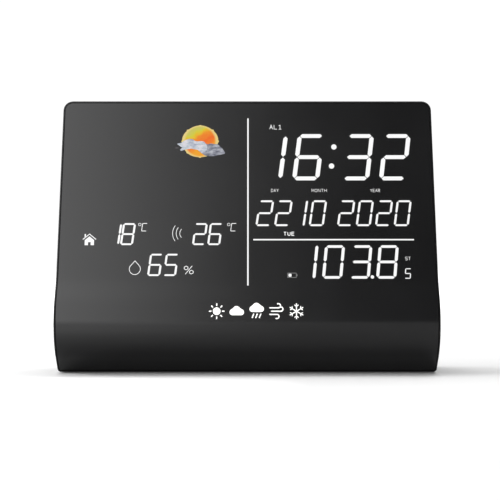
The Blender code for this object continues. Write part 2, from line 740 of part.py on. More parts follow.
# ---------------------------------------------------------------- sockets and switch
def make_io():
    """Lower board with the charging socket, the mains adaptor jack and the lamp switch."""
    inside = BACK_DEPTH - WALL - GAP
    floor = IO_BOARD_TOP + GAP
    box(
        "io_board", (0.062, 0.0175, BOARD_THICKNESS),
        (0.053, at_depth(inside - 0.00875), IO_BOARD_TOP - BOARD_THICKNESS / 2), "board_green",
    )
    usb_end = BACK_DEPTH - GAP
    usb_length = 0.014
    usb_y = at_depth(usb_end - usb_length / 2)
    usb_z = floor + 0.0029
    usb = box("usb_shell", (0.0132, usb_length, 0.0058), (USB_X, usb_y, usb_z), "contact_steel")
    cut(usb, box("usb_hollow", (0.0124, usb_length, 0.0050), (USB_X, usb_y + 0.0006, usb_z)))
    box(
        "usb_tongue", (0.0110, 0.0090, 0.0018),
        (USB_X, at_depth(usb_end - usb_length + 0.0009 + 0.0045), usb_z + 0.0010), "sensor_white",
    )
    jack_z = floor + 0.0055
    jack = box(
        "dc_jack", (0.009, 0.011, 0.011), (JACK_X, at_depth(inside - 0.0055), jack_z), "chip_black",
        bevel=0.0003,
    )
    join(jack, disc("jack_nose", 0.0038, 0.0060, (JACK_X, at_depth(BACK_DEPTH - 0.0030), jack_z), segments=20))
    bore = disc("jack_bore", 0.0027, 0.0100, (JACK_X, at_depth(BACK_DEPTH - 0.0040), jack_z), segments=20)
    pin = disc("jack_pin", 0.0010, 0.0140, (JACK_X, at_depth(BACK_DEPTH - 0.0040), jack_z), segments=12)
    cut(bore, pin)
    cut(jack, bore)
    body_length = 0.0050
    switch_z = floor + 0.0030
    body = box(
        "switch_body", (0.013, body_length, 0.0060),
        (SWITCH_X, at_depth(inside - body_length / 2 - 0.0012), switch_z), "contact_steel",
    )
    channel = box(
        "switch_channel", (0.0096, 0.004, 0.0030),
        (SWITCH_X, at_depth(inside - 0.0012), switch_z),
    )
    cut(body, channel)
    knob_end = BACK_DEPTH + 0.0004
    knob_start = inside - 0.0012 - 0.0014
    box(
        "switch_knob", (0.0036, knob_end - knob_start, 0.0024),
        (SWITCH_X + 0.0025, at_depth((knob_end + knob_start) / 2), switch_z), "key_black",
        bevel=0.0002,
    )


def make_grommet():
    """Rubber grommet where the radio's wire aerial leaves the cover."""
    x, z = GROMMET_CENTRE
    y = at_depth(BACK_DEPTH - WALL / 2)
    ring = disc("antenna_grommet", 0.0026, WALL + 0.0018, (x, y, z), segments=16, finish="rubber_black")
    outer = disc("grommet_outer", 0.0040, 0.0006, (x, at_depth(BACK_DEPTH + GAP + 0.0003), z), segments=16)
    inner = disc("grommet_inner", 0.0040, 0.0006, (x, at_depth(BACK_DEPTH - WALL - GAP - 0.0003), z), segments=16)
    join(ring, outer, inner)
    cut(ring, disc("grommet_bore", 0.0010, 0.012, (x, y, z), segments=10))


# ---------------------------------------------------------------- batteries
def make_cell(index):
    """One cell with its nub, its spring behind it. Neighbours point opposite ways."""
    x, bay_z = BAY_CENTRE
    z = bay_z + (index - 1) * CELL_PITCH
    side = 1 if index % 2 == 0 else -1
    y = at_depth(CELL_DEPTH)
    body_x = x + side * 0.00025
    cell = disc(
        f"battery_cell_{index + 1}", CELL_RADIUS, CELL_LENGTH, (body_x, y, z), "X", 20, "cell_jacket"
    )
    nub_x = body_x + side * (CELL_LENGTH / 2 + NUB_LENGTH / 2 - 0.0002)
    join(cell, disc(f"nub_{index}", NUB_RADIUS, NUB_LENGTH + 0.0004, (nub_x, y, z), "X", 12))
    length = 0.0023
    far = body_x - side * (CELL_LENGTH / 2 + GAP + 0.0004)
    start_x = far if side < 0 else far - length
    coil(f"battery_spring_{index + 1}", (start_x, y, z), 0.0026, 0.00035, length, 2, "X", "contact_steel")


def make_contact(name, side, first, last, bump):
    """A spring-steel plate on one end wall of the bay that spans cells first to last."""
    x, bay_z = BAY_CENTRE
    low = bay_z + (first - 1) * CELL_PITCH - 0.004
    high = bay_z + (last - 1) * CELL_PITCH + 0.004
    plate_x = x + side * (BAY_INSIDE[0] / 2 - GAP - 0.0002)
    y = at_depth(CELL_DEPTH)
    plate = box(name, (0.0004, 0.008, high - low), (plate_x, y, (low + high) / 2), "contact_steel")
    if bump is None:
        return
    bump_z = bay_z + (bump - 1) * CELL_PITCH
    length = 0.0018
    join(plate, disc(f"{name}_bump", 0.0015, length, (plate_x - side * length / 2, y, bump_z), "X", 12))


def make_batteries():
    """Three cells in series with their springs and contact plates."""
    for index in range(3):
        make_cell(index)
    make_contact("battery_contact_minus", -1, 0, 0, None)
    make_contact("battery_bridge_left", -1, 1, 2, 1)
    make_contact("battery_bridge_right", 1, 0, 1, 0)
    make_contact("battery_contact_plus", 1, 2, 2, 2)


# ---------------------------------------------------------------- speaker, sensors, hardware
def turned(name, profile, centre, finish, steps=32):
    """A profile of (radius, along) points turned about an axis that points along +Y."""
    bm = bmesh.new()
    verts = [bm.verts.new((radius, 0.0, along)) for radius, along in profile]
    for pair in zip(verts, verts[1:]):
        bm.edges.new(pair)
    if profile[0][0] and profile[-1][0]:
        bm.edges.new((verts[-1], verts[0]))
    made = finish_object(name, bm, finish)
    screw = made.modifiers.new("turn", "SCREW")
    screw.steps = steps
    screw.render_steps = steps
    screw.use_merge_vertices = True
    screw.merge_threshold = 0.00001
    made.location = centre
    made.rotation_euler = (math.radians(-90), 0.0, 0.0)
    return made


def make_speaker():
    """Speaker behind the grille: basket, cone and magnet."""
    x, z = SPEAKER_CENTRE
    face = at_depth(BACK_DEPTH - WALL - GAP)
    radius = SPEAKER_RADIUS
    basket = (
        (radius, 0.0), (radius, -0.0012), (radius - 0.003, -0.0014), (0.0100, -0.0062),
        (0.0050, -0.0062), (0.0050, -0.0054), (0.0094, -0.0054), (radius - 0.0038, 0.0),
    )
    turned("speaker_basket", basket, (x, face, z), "contact_steel")
    cone = (
        (0.0, -0.0034), (0.0046, -0.0030), (0.0084, -0.0040), (radius - 0.0058, -0.0004),
        (radius - 0.0058, -0.0010), (0.0086, -0.0046), (0.0, -0.0046),
    )
    turned("speaker_cone", cone, (x, face, z), "cone_paper")
    disc("speaker_magnet", 0.0095, 0.0055, (x, face - 0.0062 - GAP - 0.00275, z), "Y", 28, "chip_black")


def make_sensors():
    """Temperature and humidity sensors behind the vent slots."""
    x, z = VENT_CENTRE
    y = at_depth(BACK_DEPTH - WALL - 0.004)
    disc("temperature_sensor", 0.0016, 0.006, (x + 0.005, y, z), "Z", 14, "chip_black", 0.0011)
    humidity = box("humidity_sensor", (0.007, 0.0035, 0.011), (x - 0.004, y, z), "sensor_white", bevel=0.0003)
    cut(humidity, box("humidity_mouth", (0.0045, 0.002, 0.0070), (x - 0.004, y + 0.0019, z)))


def make_screw(index, x, height):
    """A pan-headed screw with a cross in its head, as one piece."""
    head_top = BACK_DEPTH - 0.0004
    head_length = 0.0015
    head = disc(
        f"case_screw_{index}", SCREW_HEAD_RADIUS, head_length,
        (x, at_depth(head_top - head_length / 2), height), "Y", 16, "screw_steel",
    )
    shank_length = BACK_DEPTH - PARTING_DEPTH + SCREW_REACH - 0.004
    shank_centre = (x, at_depth(head_top - head_length - shank_length / 2 + 0.0005), height)
    join(head, disc(f"shank_{index}", SCREW_RADIUS, shank_length, shank_centre, "Y", 10))
    for bar, size in (("level", (0.0026, 0.0012, 0.0006)), ("upright", (0.0006, 0.0012, 0.0026))):
        cut(head, box(f"cross_{bar}_{index}", size, (x, at_depth(head_top), height)))


def make_hardware():
    """Four case screws from behind and four rubber feet."""
    index = 1
    for height in SCREW_HEIGHTS:
        for side in (-1, 1):
            make_screw(index, side * SCREW_X, height)
            index += 1
    for depth, place in zip(FOOT_DEPTHS, ("front", "rear")):
        for side, hand in ((-1, "left"), (1, "right")):
            disc(
                f"foot_{place}_{hand}", FOOT_RADIUS - FOOT_TAPER, FOOT_THICKNESS,
                (side * FOOT_X, at_depth(depth), FOOT_THICKNESS / 2), "Z", 24, "rubber_black",
                FOOT_RADIUS,
            )


def build():
    """Makes the whole weather station."""
    make_front_case()
    make_front_lens()
    make_rear_cover()
    make_battery_door()
    origin = display_origin()
    make_display(origin)
    make_main_board(origin)
    make_receiver_coil(origin)
    make_keys()
    make_snooze()
    make_io()
    make_grommet()
    make_batteries()
    make_speaker()
    make_sensors()
    make_hardware()


build()
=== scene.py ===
"""Looks of a desk weather station: finishes, lit display, printed marks, studio and camera.

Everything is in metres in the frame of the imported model: X to the viewer's right, Y from the
display to the back, Z up from the desk.
"""

from __future__ import annotations

import json
import logging
import math
from collections.abc import Callable, Iterable, Sequence
from dataclasses import dataclass, field, replace
from enum import Enum

import bmesh
import bpy
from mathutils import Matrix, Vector

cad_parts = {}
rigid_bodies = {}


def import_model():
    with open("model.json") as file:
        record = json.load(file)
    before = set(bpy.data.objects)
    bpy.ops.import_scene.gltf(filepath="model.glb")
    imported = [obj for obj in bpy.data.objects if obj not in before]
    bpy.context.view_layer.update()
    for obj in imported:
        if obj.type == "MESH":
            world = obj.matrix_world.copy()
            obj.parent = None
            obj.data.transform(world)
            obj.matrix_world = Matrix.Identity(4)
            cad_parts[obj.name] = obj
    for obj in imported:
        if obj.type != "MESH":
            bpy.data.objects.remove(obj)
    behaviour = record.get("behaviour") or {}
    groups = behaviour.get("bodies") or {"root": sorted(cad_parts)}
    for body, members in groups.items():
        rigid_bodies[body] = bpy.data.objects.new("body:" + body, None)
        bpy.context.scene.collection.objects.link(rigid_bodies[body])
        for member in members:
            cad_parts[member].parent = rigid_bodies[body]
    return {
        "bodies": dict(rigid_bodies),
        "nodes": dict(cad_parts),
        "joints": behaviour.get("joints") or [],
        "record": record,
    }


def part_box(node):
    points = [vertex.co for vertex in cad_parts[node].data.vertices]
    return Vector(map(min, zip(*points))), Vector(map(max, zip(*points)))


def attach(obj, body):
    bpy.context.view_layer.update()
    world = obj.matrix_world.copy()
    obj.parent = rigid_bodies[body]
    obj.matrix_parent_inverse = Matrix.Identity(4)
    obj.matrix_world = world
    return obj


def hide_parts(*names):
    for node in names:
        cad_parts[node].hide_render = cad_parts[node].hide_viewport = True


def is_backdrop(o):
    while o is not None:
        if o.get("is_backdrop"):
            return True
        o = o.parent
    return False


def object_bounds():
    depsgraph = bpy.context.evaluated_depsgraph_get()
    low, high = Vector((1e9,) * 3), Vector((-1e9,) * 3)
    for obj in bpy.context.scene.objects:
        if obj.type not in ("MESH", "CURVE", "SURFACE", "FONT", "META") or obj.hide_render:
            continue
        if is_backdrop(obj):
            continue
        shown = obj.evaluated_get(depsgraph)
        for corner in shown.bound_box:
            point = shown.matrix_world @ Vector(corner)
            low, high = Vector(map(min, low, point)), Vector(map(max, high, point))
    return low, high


LOG = logging.getLogger("weather_station")
MM = 0.001
Point = tuple[float, float]
Colour = tuple[float, float, float]
Socket = bpy.types.NodeSocket

KEYS = ("alarm", "mode", "up", "down", "radio", "channel")
FEET = ("front_left", "front_right", "rear_left", "rear_right")


# ---------------------------------------------------------------- materials
class Recipe:
    """The nodes of one material, added and joined in short calls."""

    def __init__(self, name: str) -> None:
        """Starts a material that holds a Principled shader.

        Args:
            name: The material's name.
        """
        self.material = bpy.data.materials.new(name)
        self.material.use_nodes = True
        self.tree = self.material.node_tree
        self.shader = self.tree.nodes["Principled BSDF"]

    def add(self, kind: str, sockets: dict | None = None, **settings: object) -> bpy.types.Node:
        """Adds a node.

        Args:
            kind: The node's type, without its ShaderNode prefix.
            sockets: Input name or number to a value, or to the output that feeds it.
            **settings: The node's own properties.

        Returns:
            The node.
        """
        node = self.tree.nodes.new("ShaderNode" + kind)
        for key, value in settings.items():
            setattr(node, key, value)
        self.feed(node, sockets or {})
        return node

    def feed(self, node: bpy.types.Node, sockets: dict) -> None:
        """Sets or links a node's inputs.

        Args:
            node: The node to feed.
            sockets: Input name or number to a value, or to the output that feeds it.
        """
        for key, value in sockets.items():
            if isinstance(value, Socket):
                self.tree.links.new(value, node.inputs[key])
            else:
                node.inputs[key].default_value = value

    def surface(self, sockets: dict) -> bpy.types.Material:
        """Feeds the shader.

        Args:
            sockets: The shader's inputs.

        Returns:
            The finished material.
        """
        self.feed(self.shader, sockets)
        return self.material

    def place(self, stretch: Sequence[float] = (1, 1, 1), shift: Sequence[float] = (0, 0, 0)) -> Socket:
        """Object coordinates, stretched and shifted.

        Args:
            stretch: Scale on each axis.
            shift: Added after the scale.

        Returns:
            The vector output.
        """
        where = self.add("TexCoord").outputs["Object"]
        moved = self.add("Mapping", {"Vector": where, "Location": shift, "Scale": stretch})
        return moved.outputs["Vector"]

    def noise(self, where: Socket, scale: float, detail: float = 2.0, rough: float = 0.5) -> Socket:
        """A noise pattern.

        Args:
            where: The vector output to read.
            scale: Features per metre.
            detail: Octaves.
            rough: How strong the finer octaves are.

        Returns:
            The pattern's value output.
        """
        sockets = {"Vector": where, "Scale": scale, "Detail": detail, "Roughness": rough}
        return self.add("TexNoise", sockets).outputs["Fac"]

    def remap(
        self, value: Socket, low: float, high: float, start: float = 0.3, end: float = 0.7
    ) -> Socket:
        """Maps start to end onto low to high.

        Args:
            value: The output to map.
            low: Result at start.
            high: Result at end.
            start: Value that gives low.
            end: Value that gives high.

        Returns:
            The mapped output.
        """
        sockets = {"Value": value, "From Min": start, "From Max": end, "To Min": low, "To Max": high}
        return self.add("MapRange", sockets).outputs["Result"]

    def ramp(self, value: Socket, stops: Sequence[tuple[float, Colour]]) -> Socket:
        """Colours along a value.

        Args:
            value: The output to colour.
            stops: Places from 0 to 1 and their colours.

        Returns:
            The colour output.
        """
        node = self.add("ValToRGB", {"Fac": value})
        bar = node.color_ramp.elements
        while len(bar) < len(stops):
            bar.new(0.5)
        for spot, (place, colour) in zip(bar, stops):
            spot.position = place
            spot.color = (*colour, 1.0)
        return node.outputs["Color"]

    def math(self, operation: str, first: Socket | float, second: Socket | float = 0.0) -> Socket:
        """One sum on two values.

        Args:
            operation: The sum, such as "ADD" or "MULTIPLY".
            first: A number or an output.
            second: A number or an output.

        Returns:
            The result's output.
        """
        return self.add("Math", {0: first, 1: second}, operation=operation).outputs["Value"]

    def mix(self, share: Socket, first: Socket, second: Colour) -> Socket:
        """Blends a pattern into a plain colour.

        Args:
            share: The output that says how much of the plain colour shows, from 0 to 1.
            first: The pattern's colour output.
            second: The plain colour.

        Returns:
            The colour output.
        """
        sockets = {"Factor": share, "A": first, "B": (*second, 1.0)}
        return self.add("Mix", sockets, data_type="RGBA").outputs["Result"]

    def axes(self, where: Socket) -> bpy.types.NodeOutputs:
        """The X, Y and Z outputs of a vector."""
        return self.add("SeparateXYZ", {"Vector": where}).outputs

    def length(self, where: Socket) -> Socket:
        """The length of a vector."""
        return self.add("VectorMath", {0: where}, operation="LENGTH").outputs["Value"]

    def bump(self, height: Socket, strength: float, distance: float) -> Socket:
        """Surface relief.

        Args:
            height: The output that holds the relief.
            strength: From 0 to 1.
            distance: Depth in metres.

        Returns:
            The normal output.
        """
        sockets = {"Height": height, "Strength": strength, "Distance": distance}
        return self.add("Bump", sockets).outputs["Normal"]


def shade(colour: Colour, by: float) -> Colour:
    """A colour made lighter or darker.

    Args:
        colour: The colour.
        by: What it is multiplied by.

    Returns:
        The new colour.
    """
    return tuple(min(1.0, part * by) for part in colour)


@dataclass(frozen=True)
class MouldedPlastic:
    """Plastic or rubber with the eroded grain of its mould and faint handling marks."""

    name: str
    colour: Colour
    roughness: float
    grain: float = 2200.0
    depth: float = 0.012 * MM
    strength: float = 0.35
    specular: float = 0.5

    def material(self) -> bpy.types.Material:
        """Makes the finish.

        Returns:
            The material.
        """
        recipe = Recipe(self.name)
        where = recipe.place()
        grain = recipe.noise(where, self.grain, 3.0, 0.6)
        patches = recipe.noise(where, 28.0, 4.0, 0.55)
        return recipe.surface({
            "Base Color": recipe.ramp(patches, (
                (0.30, shade(self.colour, 0.85)), (0.55, self.colour), (0.75, shade(self.colour, 1.25)),
            )),
            "Roughness": recipe.remap(patches, self.roughness - 0.04, self.roughness + 0.05),
            "Specular IOR Level": self.specular,
            "Normal": recipe.bump(grain, self.strength, self.depth),
        })


@dataclass(frozen=True)
class SmokedPanel:
    """Deep smoked acrylic with a soft, even gloss and a trace of orange peel."""

    name: str = "smoked_panel_finish"
    colour: Colour = (0.0042, 0.0042, 0.0045)
    roughness: float = 0.20
    specular: float = 0.28

    def material(self) -> bpy.types.Material:
        """Makes the finish.

        Returns:
            The material.
        """
        recipe = Recipe(self.name)
        where = recipe.place()
        peel = recipe.noise(where, 420.0, 2.0)
        haze = recipe.noise(where, 22.0, 3.0)
        return recipe.surface({
            "Base Color": recipe.ramp(haze, (
                (0.3, shade(self.colour, 0.9)), (0.7, shade(self.colour, 1.15)),
            )),
            "Roughness": recipe.remap(haze, self.roughness - 0.015, self.roughness + 0.015),
            "Specular IOR Level": self.specular,
            "Normal": recipe.bump(peel, 0.05, 0.01 * MM),
        })


@dataclass(frozen=True)
class PlatedMetal:
    """Rolled or plated metal with fine drawn lines along X."""

    name: str
    colour: Colour
    roughness: float
    stretch: tuple[float, float, float] = (0.08, 1.0, 1.0)

    def material(self) -> bpy.types.Material:
        """Makes the finish.

        Returns:
            The material.
        """
        recipe = Recipe(self.name)
        lines = recipe.noise(recipe.place(self.stretch), 4200.0, 3.0)
        stain = recipe.noise(recipe.place(), 120.0, 3.0)
        return recipe.surface({
            "Base Color": recipe.ramp(stain, (
                (0.3, shade(self.colour, 0.75)), (0.65, self.colour),
            )),
            "Metallic": 1.0,
            "Roughness": recipe.remap(lines, self.roughness - 0.06, self.roughness + 0.10),
            "Normal": recipe.bump(lines, 0.25, 0.004 * MM),
        })


@dataclass(frozen=True)
class LitSegment:
    """Backlit display segment: even light with a faint mottle from the light guide."""

    name: str
    colour: Colour
    strength: float = 1.0
    roughness: float = 0.2
    specular: float = 0.34

    def material(self) -> bpy.types.Material:
        """Makes the finish.

        Returns:
            The material.
        """
        recipe = Recipe(self.name)
        mottle = recipe.noise(recipe.place(), 160.0, 2.0)
        return recipe.surface({
            "Base Color": (0.01, 0.01, 0.01, 1.0),
            "Roughness": self.roughness,
            "Specular IOR Level": self.specular,
            "Emission Color": recipe.ramp(mottle, (
                (0.3, shade(self.colour, 0.95)), (0.7, self.colour),
            )),
            "Emission Strength": self.strength,
            "Normal": recipe.bump(mottle, 0.05, 0.01 * MM),
        })


@dataclass(frozen=True)
class PrintedInk:
    """Screen-printed ink with a slightly broken surface, which can also glow: a glow is painted light that
    makes the ink look brightly lit.
    """

    name: str
    colour: Colour
    # A glow is painted light: the ink emits as if a lamp lit it.
    glow: float = 0.0

    def material(self) -> bpy.types.Material:
        """Makes the finish.

        Returns:
            The material.
        """
        recipe = Recipe(self.name)
        where = recipe.place()
        weave = recipe.noise(where, 3000.0, 2.0)
        ink = recipe.ramp(recipe.noise(where, 300.0, 3.0), (
            (0.3, shade(self.colour, 0.93)), (0.7, self.colour),
        ))
        return recipe.surface({
            "Base Color": ink,
            "Roughness": recipe.remap(weave, 0.5, 0.62),
            "Emission Color": ink,
            "Emission Strength": self.glow,
            "Normal": recipe.bump(weave, 0.2, 0.004 * MM),
        })


def lit_picture(recipe: Recipe, picture: Socket, strength: float) -> bpy.types.Material:
    """Finishes a material that shows a lit picture on a dark, smooth ground.

    Args:
        recipe: The material's nodes.
        picture: The colour output to show.
        strength: How bright it is.

    Returns:
        The material.
    """
    return recipe.surface({
        "Base Color": (0.0, 0.0, 0.0, 1.0),
        "Roughness": 0.2,
        "Specular IOR Level": 0.2,
        "Emission Color": picture,
        "Emission Strength": strength,
    })


@dataclass(frozen=True)
class SunPicture:
    """Lit picture of a sun: yellow-green at the upper left, orange at the right, a cream rim."""

    name: str
    centre: Point
    radius: float
    cream: Colour = (0.80, 0.62, 0.22)
    rim: Point = (0.88, 1.0)

    def material(self) -> bpy.types.Material:
        """Makes the finish.

        Returns:
            The material.
        """
        recipe = Recipe(self.name)
        x, z = self.centre
        size = 1.0 / self.radius
        where = recipe.place((size, 0.0, size), (-x * size, 0.0, -z * size))
        axes = recipe.axes(where)
        slope = recipe.math("SUBTRACT", recipe.math("MULTIPLY", axes["X"], 0.42), axes["Z"])
        wisps = recipe.remap(recipe.noise(where, 1.6, 3.0), -0.12, 0.12)
        blend = recipe.math("ADD", recipe.remap(slope, 0.0, 1.0, -0.9, 0.9), wisps)
        body = recipe.ramp(blend, (
            (0.02, (0.60, 0.56, 0.10)), (0.13, (0.66, 0.60, 0.03)), (0.22, (0.80, 0.48, 0.01)),
            (0.30, (0.86, 0.26, 0.008)), (0.52, (0.86, 0.14, 0.006)), (0.68, (0.88, 0.19, 0.006)),
            (0.88, (0.88, 0.36, 0.01)),
        ))
        rim = recipe.remap(recipe.length(where), 0.0, 1.0, *self.rim)
        return lit_picture(recipe, recipe.mix(rim, body, self.cream), 0.95)


@dataclass(frozen=True)
class CloudPicture:
    """Lit picture of a cloud: billows between a shade and a light tone."""

    name: str
    dark: Colour
    light: Colour
    crest: Colour

    def material(self) -> bpy.types.Material:
        """Makes the finish.

        Returns:
            The material.
        """
        recipe = Recipe(self.name)
        billow = recipe.noise(recipe.place((0.7, 0.0, 1.5)), 360.0, 3.0, 0.6)
        picture = recipe.ramp(billow, (
            (0.36, self.dark), (0.50, self.light), (0.64, self.crest),
        ))
        return lit_picture(recipe, picture, 0.9)


@dataclass(frozen=True)
class CellJacket:
    """Printed jacket of a dry cell, with bright metal ends."""

    name: str
    centre: float
    half_length: float
    tin: Colour = (0.62, 0.62, 0.60)

    def material(self) -> bpy.types.Material:
        """Makes the finish.

        Returns:
            The material.
        """
        recipe = Recipe(self.name)
        where = recipe.place((1, 1, 1), (-self.centre, 0, 0))
        along = recipe.math("DIVIDE", recipe.axes(where)["X"], self.half_length)
        ends = recipe.remap(recipe.math("ABSOLUTE", along), 0.0, 1.0, 0.965, 0.97)
        share = recipe.remap(along, 0.0, 1.0, -1.0, 1.0)
        print_on = recipe.ramp(share, (
            (0.00, (0.012, 0.020, 0.060)), (0.655, (0.014, 0.026, 0.075)), (0.660, (0.60, 0.60, 0.58)),
            (0.685, (0.58, 0.30, 0.08)), (0.690, (0.58, 0.30, 0.08)),
        ))
        scuffs = recipe.noise(recipe.place((0.3, 1, 1)), 900.0, 3.0)
        return recipe.surface({
            "Base Color": recipe.mix(ends, print_on, self.tin),
            "Metallic": recipe.remap(ends, 0.25, 1.0, 0.0, 1.0),
            "Roughness": recipe.remap(scuffs, 0.24, 0.36),
            "Normal": recipe.bump(scuffs, 0.15, 0.005 * MM),
        })


@dataclass(frozen=True)
class CircuitBoard:
    """Solder mask over copper tracks, with tinned pads."""

    name: str = "circuit_board"
    mask: Colour = (0.012, 0.090, 0.032)
    track: Colour = (0.030, 0.170, 0.060)
    pad: Colour = (0.62, 0.60, 0.55)
    cells: float = 260.0

    def material(self) -> bpy.types.Material:
        """Makes the finish.

        Returns:
            The material.
        """
        recipe = Recipe(self.name)
        where = recipe.place()
        layout = {"Vector": where, "Scale": self.cells, "Randomness": 0.55}
        tracks = recipe.add("TexVoronoi", layout, feature="DISTANCE_TO_EDGE", distance="MANHATTAN")
        dots = recipe.add("TexVoronoi", layout)
        line = recipe.remap(tracks.outputs["Distance"], 1.0, 0.0, 0.045, 0.065)
        hole = recipe.remap(dots.outputs["Distance"], 1.0, 0.0, 0.10, 0.12)
        green = recipe.ramp(line, ((0.0, self.mask), (1.0, self.track)))
        return recipe.surface({
            "Base Color": recipe.mix(hole, green, self.pad),
            "Metallic": hole,
            "Roughness": recipe.remap(recipe.noise(where, 700.0), 0.28, 0.40),
            "Normal": recipe.bump(recipe.math("MAXIMUM", line, hole), 0.5, 0.03 * MM),
        })


@dataclass(frozen=True)
class Ribbon:
    """Flexible film with copper lines that run along it."""

    name: str = "flex_ribbon"
    film: Colour = (0.42, 0.20, 0.035)
    line: Colour = (0.72, 0.44, 0.16)
    pitch: float = 1.0 * MM

    def material(self) -> bpy.types.Material:
        """Makes the finish.

        Returns:
            The material.
        """
        recipe = Recipe(self.name)
        wave = recipe.add(
            "TexWave", {"Vector": recipe.place(), "Scale": 0.314 / self.pitch, "Distortion": 0.0},
            wave_type="BANDS", bands_direction="X",
        ).outputs["Fac"]
        lines = recipe.remap(wave, 0.0, 1.0, 0.45, 0.55)
        return recipe.surface({
            "Base Color": recipe.ramp(lines, ((0.0, self.film), (1.0, self.line))),
            "Roughness": recipe.remap(lines, 0.30, 0.42, 0.0, 1.0),
            "Normal": recipe.bump(lines, 0.3, 0.02 * MM),
        })


@dataclass(frozen=True)
class ClearSheet:
    """Clear acrylic or display glass, with a fine dot pattern that scatters light."""

    name: str
    colour: Colour
    roughness: float
    transmission: float
    dots: float

    def material(self) -> bpy.types.Material:
        """Makes the finish.

        Returns:
            The material.
        """
        recipe = Recipe(self.name)
        cells = recipe.add("TexVoronoi", {"Vector": recipe.place(), "Scale": self.dots, "Randomness": 0.0})
        dots = recipe.remap(cells.outputs["Distance"], 1.0, 0.0, 0.20, 0.30)
        return recipe.surface({
            "Base Color": recipe.ramp(dots, ((0.0, self.colour), (1.0, shade(self.colour, 1.3)))),
            "Roughness": recipe.remap(dots, self.roughness, self.roughness + 0.3, 0.0, 1.0),
            "Transmission Weight": self.transmission,
            "IOR": 1.49,
            "Normal": recipe.bump(dots, 0.2, 0.01 * MM),
        })


@dataclass(frozen=True)
class PulpCone:
    """Pressed paper pulp of a speaker cone, with ribs round its axis."""

    name: str
    centre: Point
    colour: Colour = (0.020, 0.020, 0.019)

    def material(self) -> bpy.types.Material:
        """Makes the finish.

        Returns:
            The material.
        """
        recipe = Recipe(self.name)
        x, z = self.centre
        where = recipe.place((1, 0, 1), (-x, 0, -z))
        rings = recipe.add(
            "TexWave", {"Vector": where, "Scale": 160.0, "Distortion": 0.0},
            wave_type="RINGS", rings_direction="SPHERICAL",
        ).outputs["Fac"]
        fibres = recipe.noise(recipe.place(), 2600.0, 4.0, 0.7)
        relief = recipe.math("ADD", rings, recipe.math("MULTIPLY", fibres, 0.3))
        return recipe.surface({
            "Base Color": recipe.ramp(fibres, (
                (0.3, shade(self.colour, 0.6)), (0.7, shade(self.colour, 1.6)),
            )),
            "Roughness": recipe.remap(fibres, 0.78, 0.92),
            "Normal": recipe.bump(relief, 0.4, 0.15 * MM),
        })


@dataclass(frozen=True)
class StudioPaper:
    """Seamless pale paper for the floor, which glows away from the middle, with a painted pool of light at
    the left front.

    A glow has a strength, and a span is the two places between which it sets in.
    """

    name: str = "studio_paper"
    colour: Colour = (0.90, 0.90, 0.90)
    near_glow: float = 0.05
    far_glow: float = 1.0
    far_span: Point = (0.35, 1.20)
    left_painted_light: float = 1.35
    left_span: Point = (-0.11, 0.03)
    front_span: Point = (-0.09, -0.035)

    def material(self) -> bpy.types.Material:
        """Makes the finish.

        Returns:
            The material.
        """
        recipe = Recipe(self.name)
        where = recipe.place()
        tooth = recipe.noise(where, 800.0, 2.0)
        axes = recipe.axes(where)
        # Painted pool of light: the floor at the left front glows more, as if a lamp lit it there, and the
        # chin's undercut reflects it.
        left = recipe.remap(axes["X"], self.left_painted_light, 0.0, *self.left_span)
        front = recipe.remap(axes["Y"], 1.0, 0.0, *self.front_span)
        glow = recipe.remap(recipe.length(where), self.near_glow, self.far_glow, *self.far_span)
        return recipe.surface({
            "Base Color": recipe.ramp(tooth, ((0.2, shade(self.colour, 0.995)), (0.8, self.colour))),
            "Roughness": 0.95,
            "Specular IOR Level": 0.0,
            "Emission Color": (1.0, 1.0, 1.0, 1.0),
            "Emission Strength": recipe.math("ADD", glow, recipe.math("MULTIPLY", left, front)),
            "Normal": recipe.bump(tooth, 0.02, 0.01 * MM),
        })


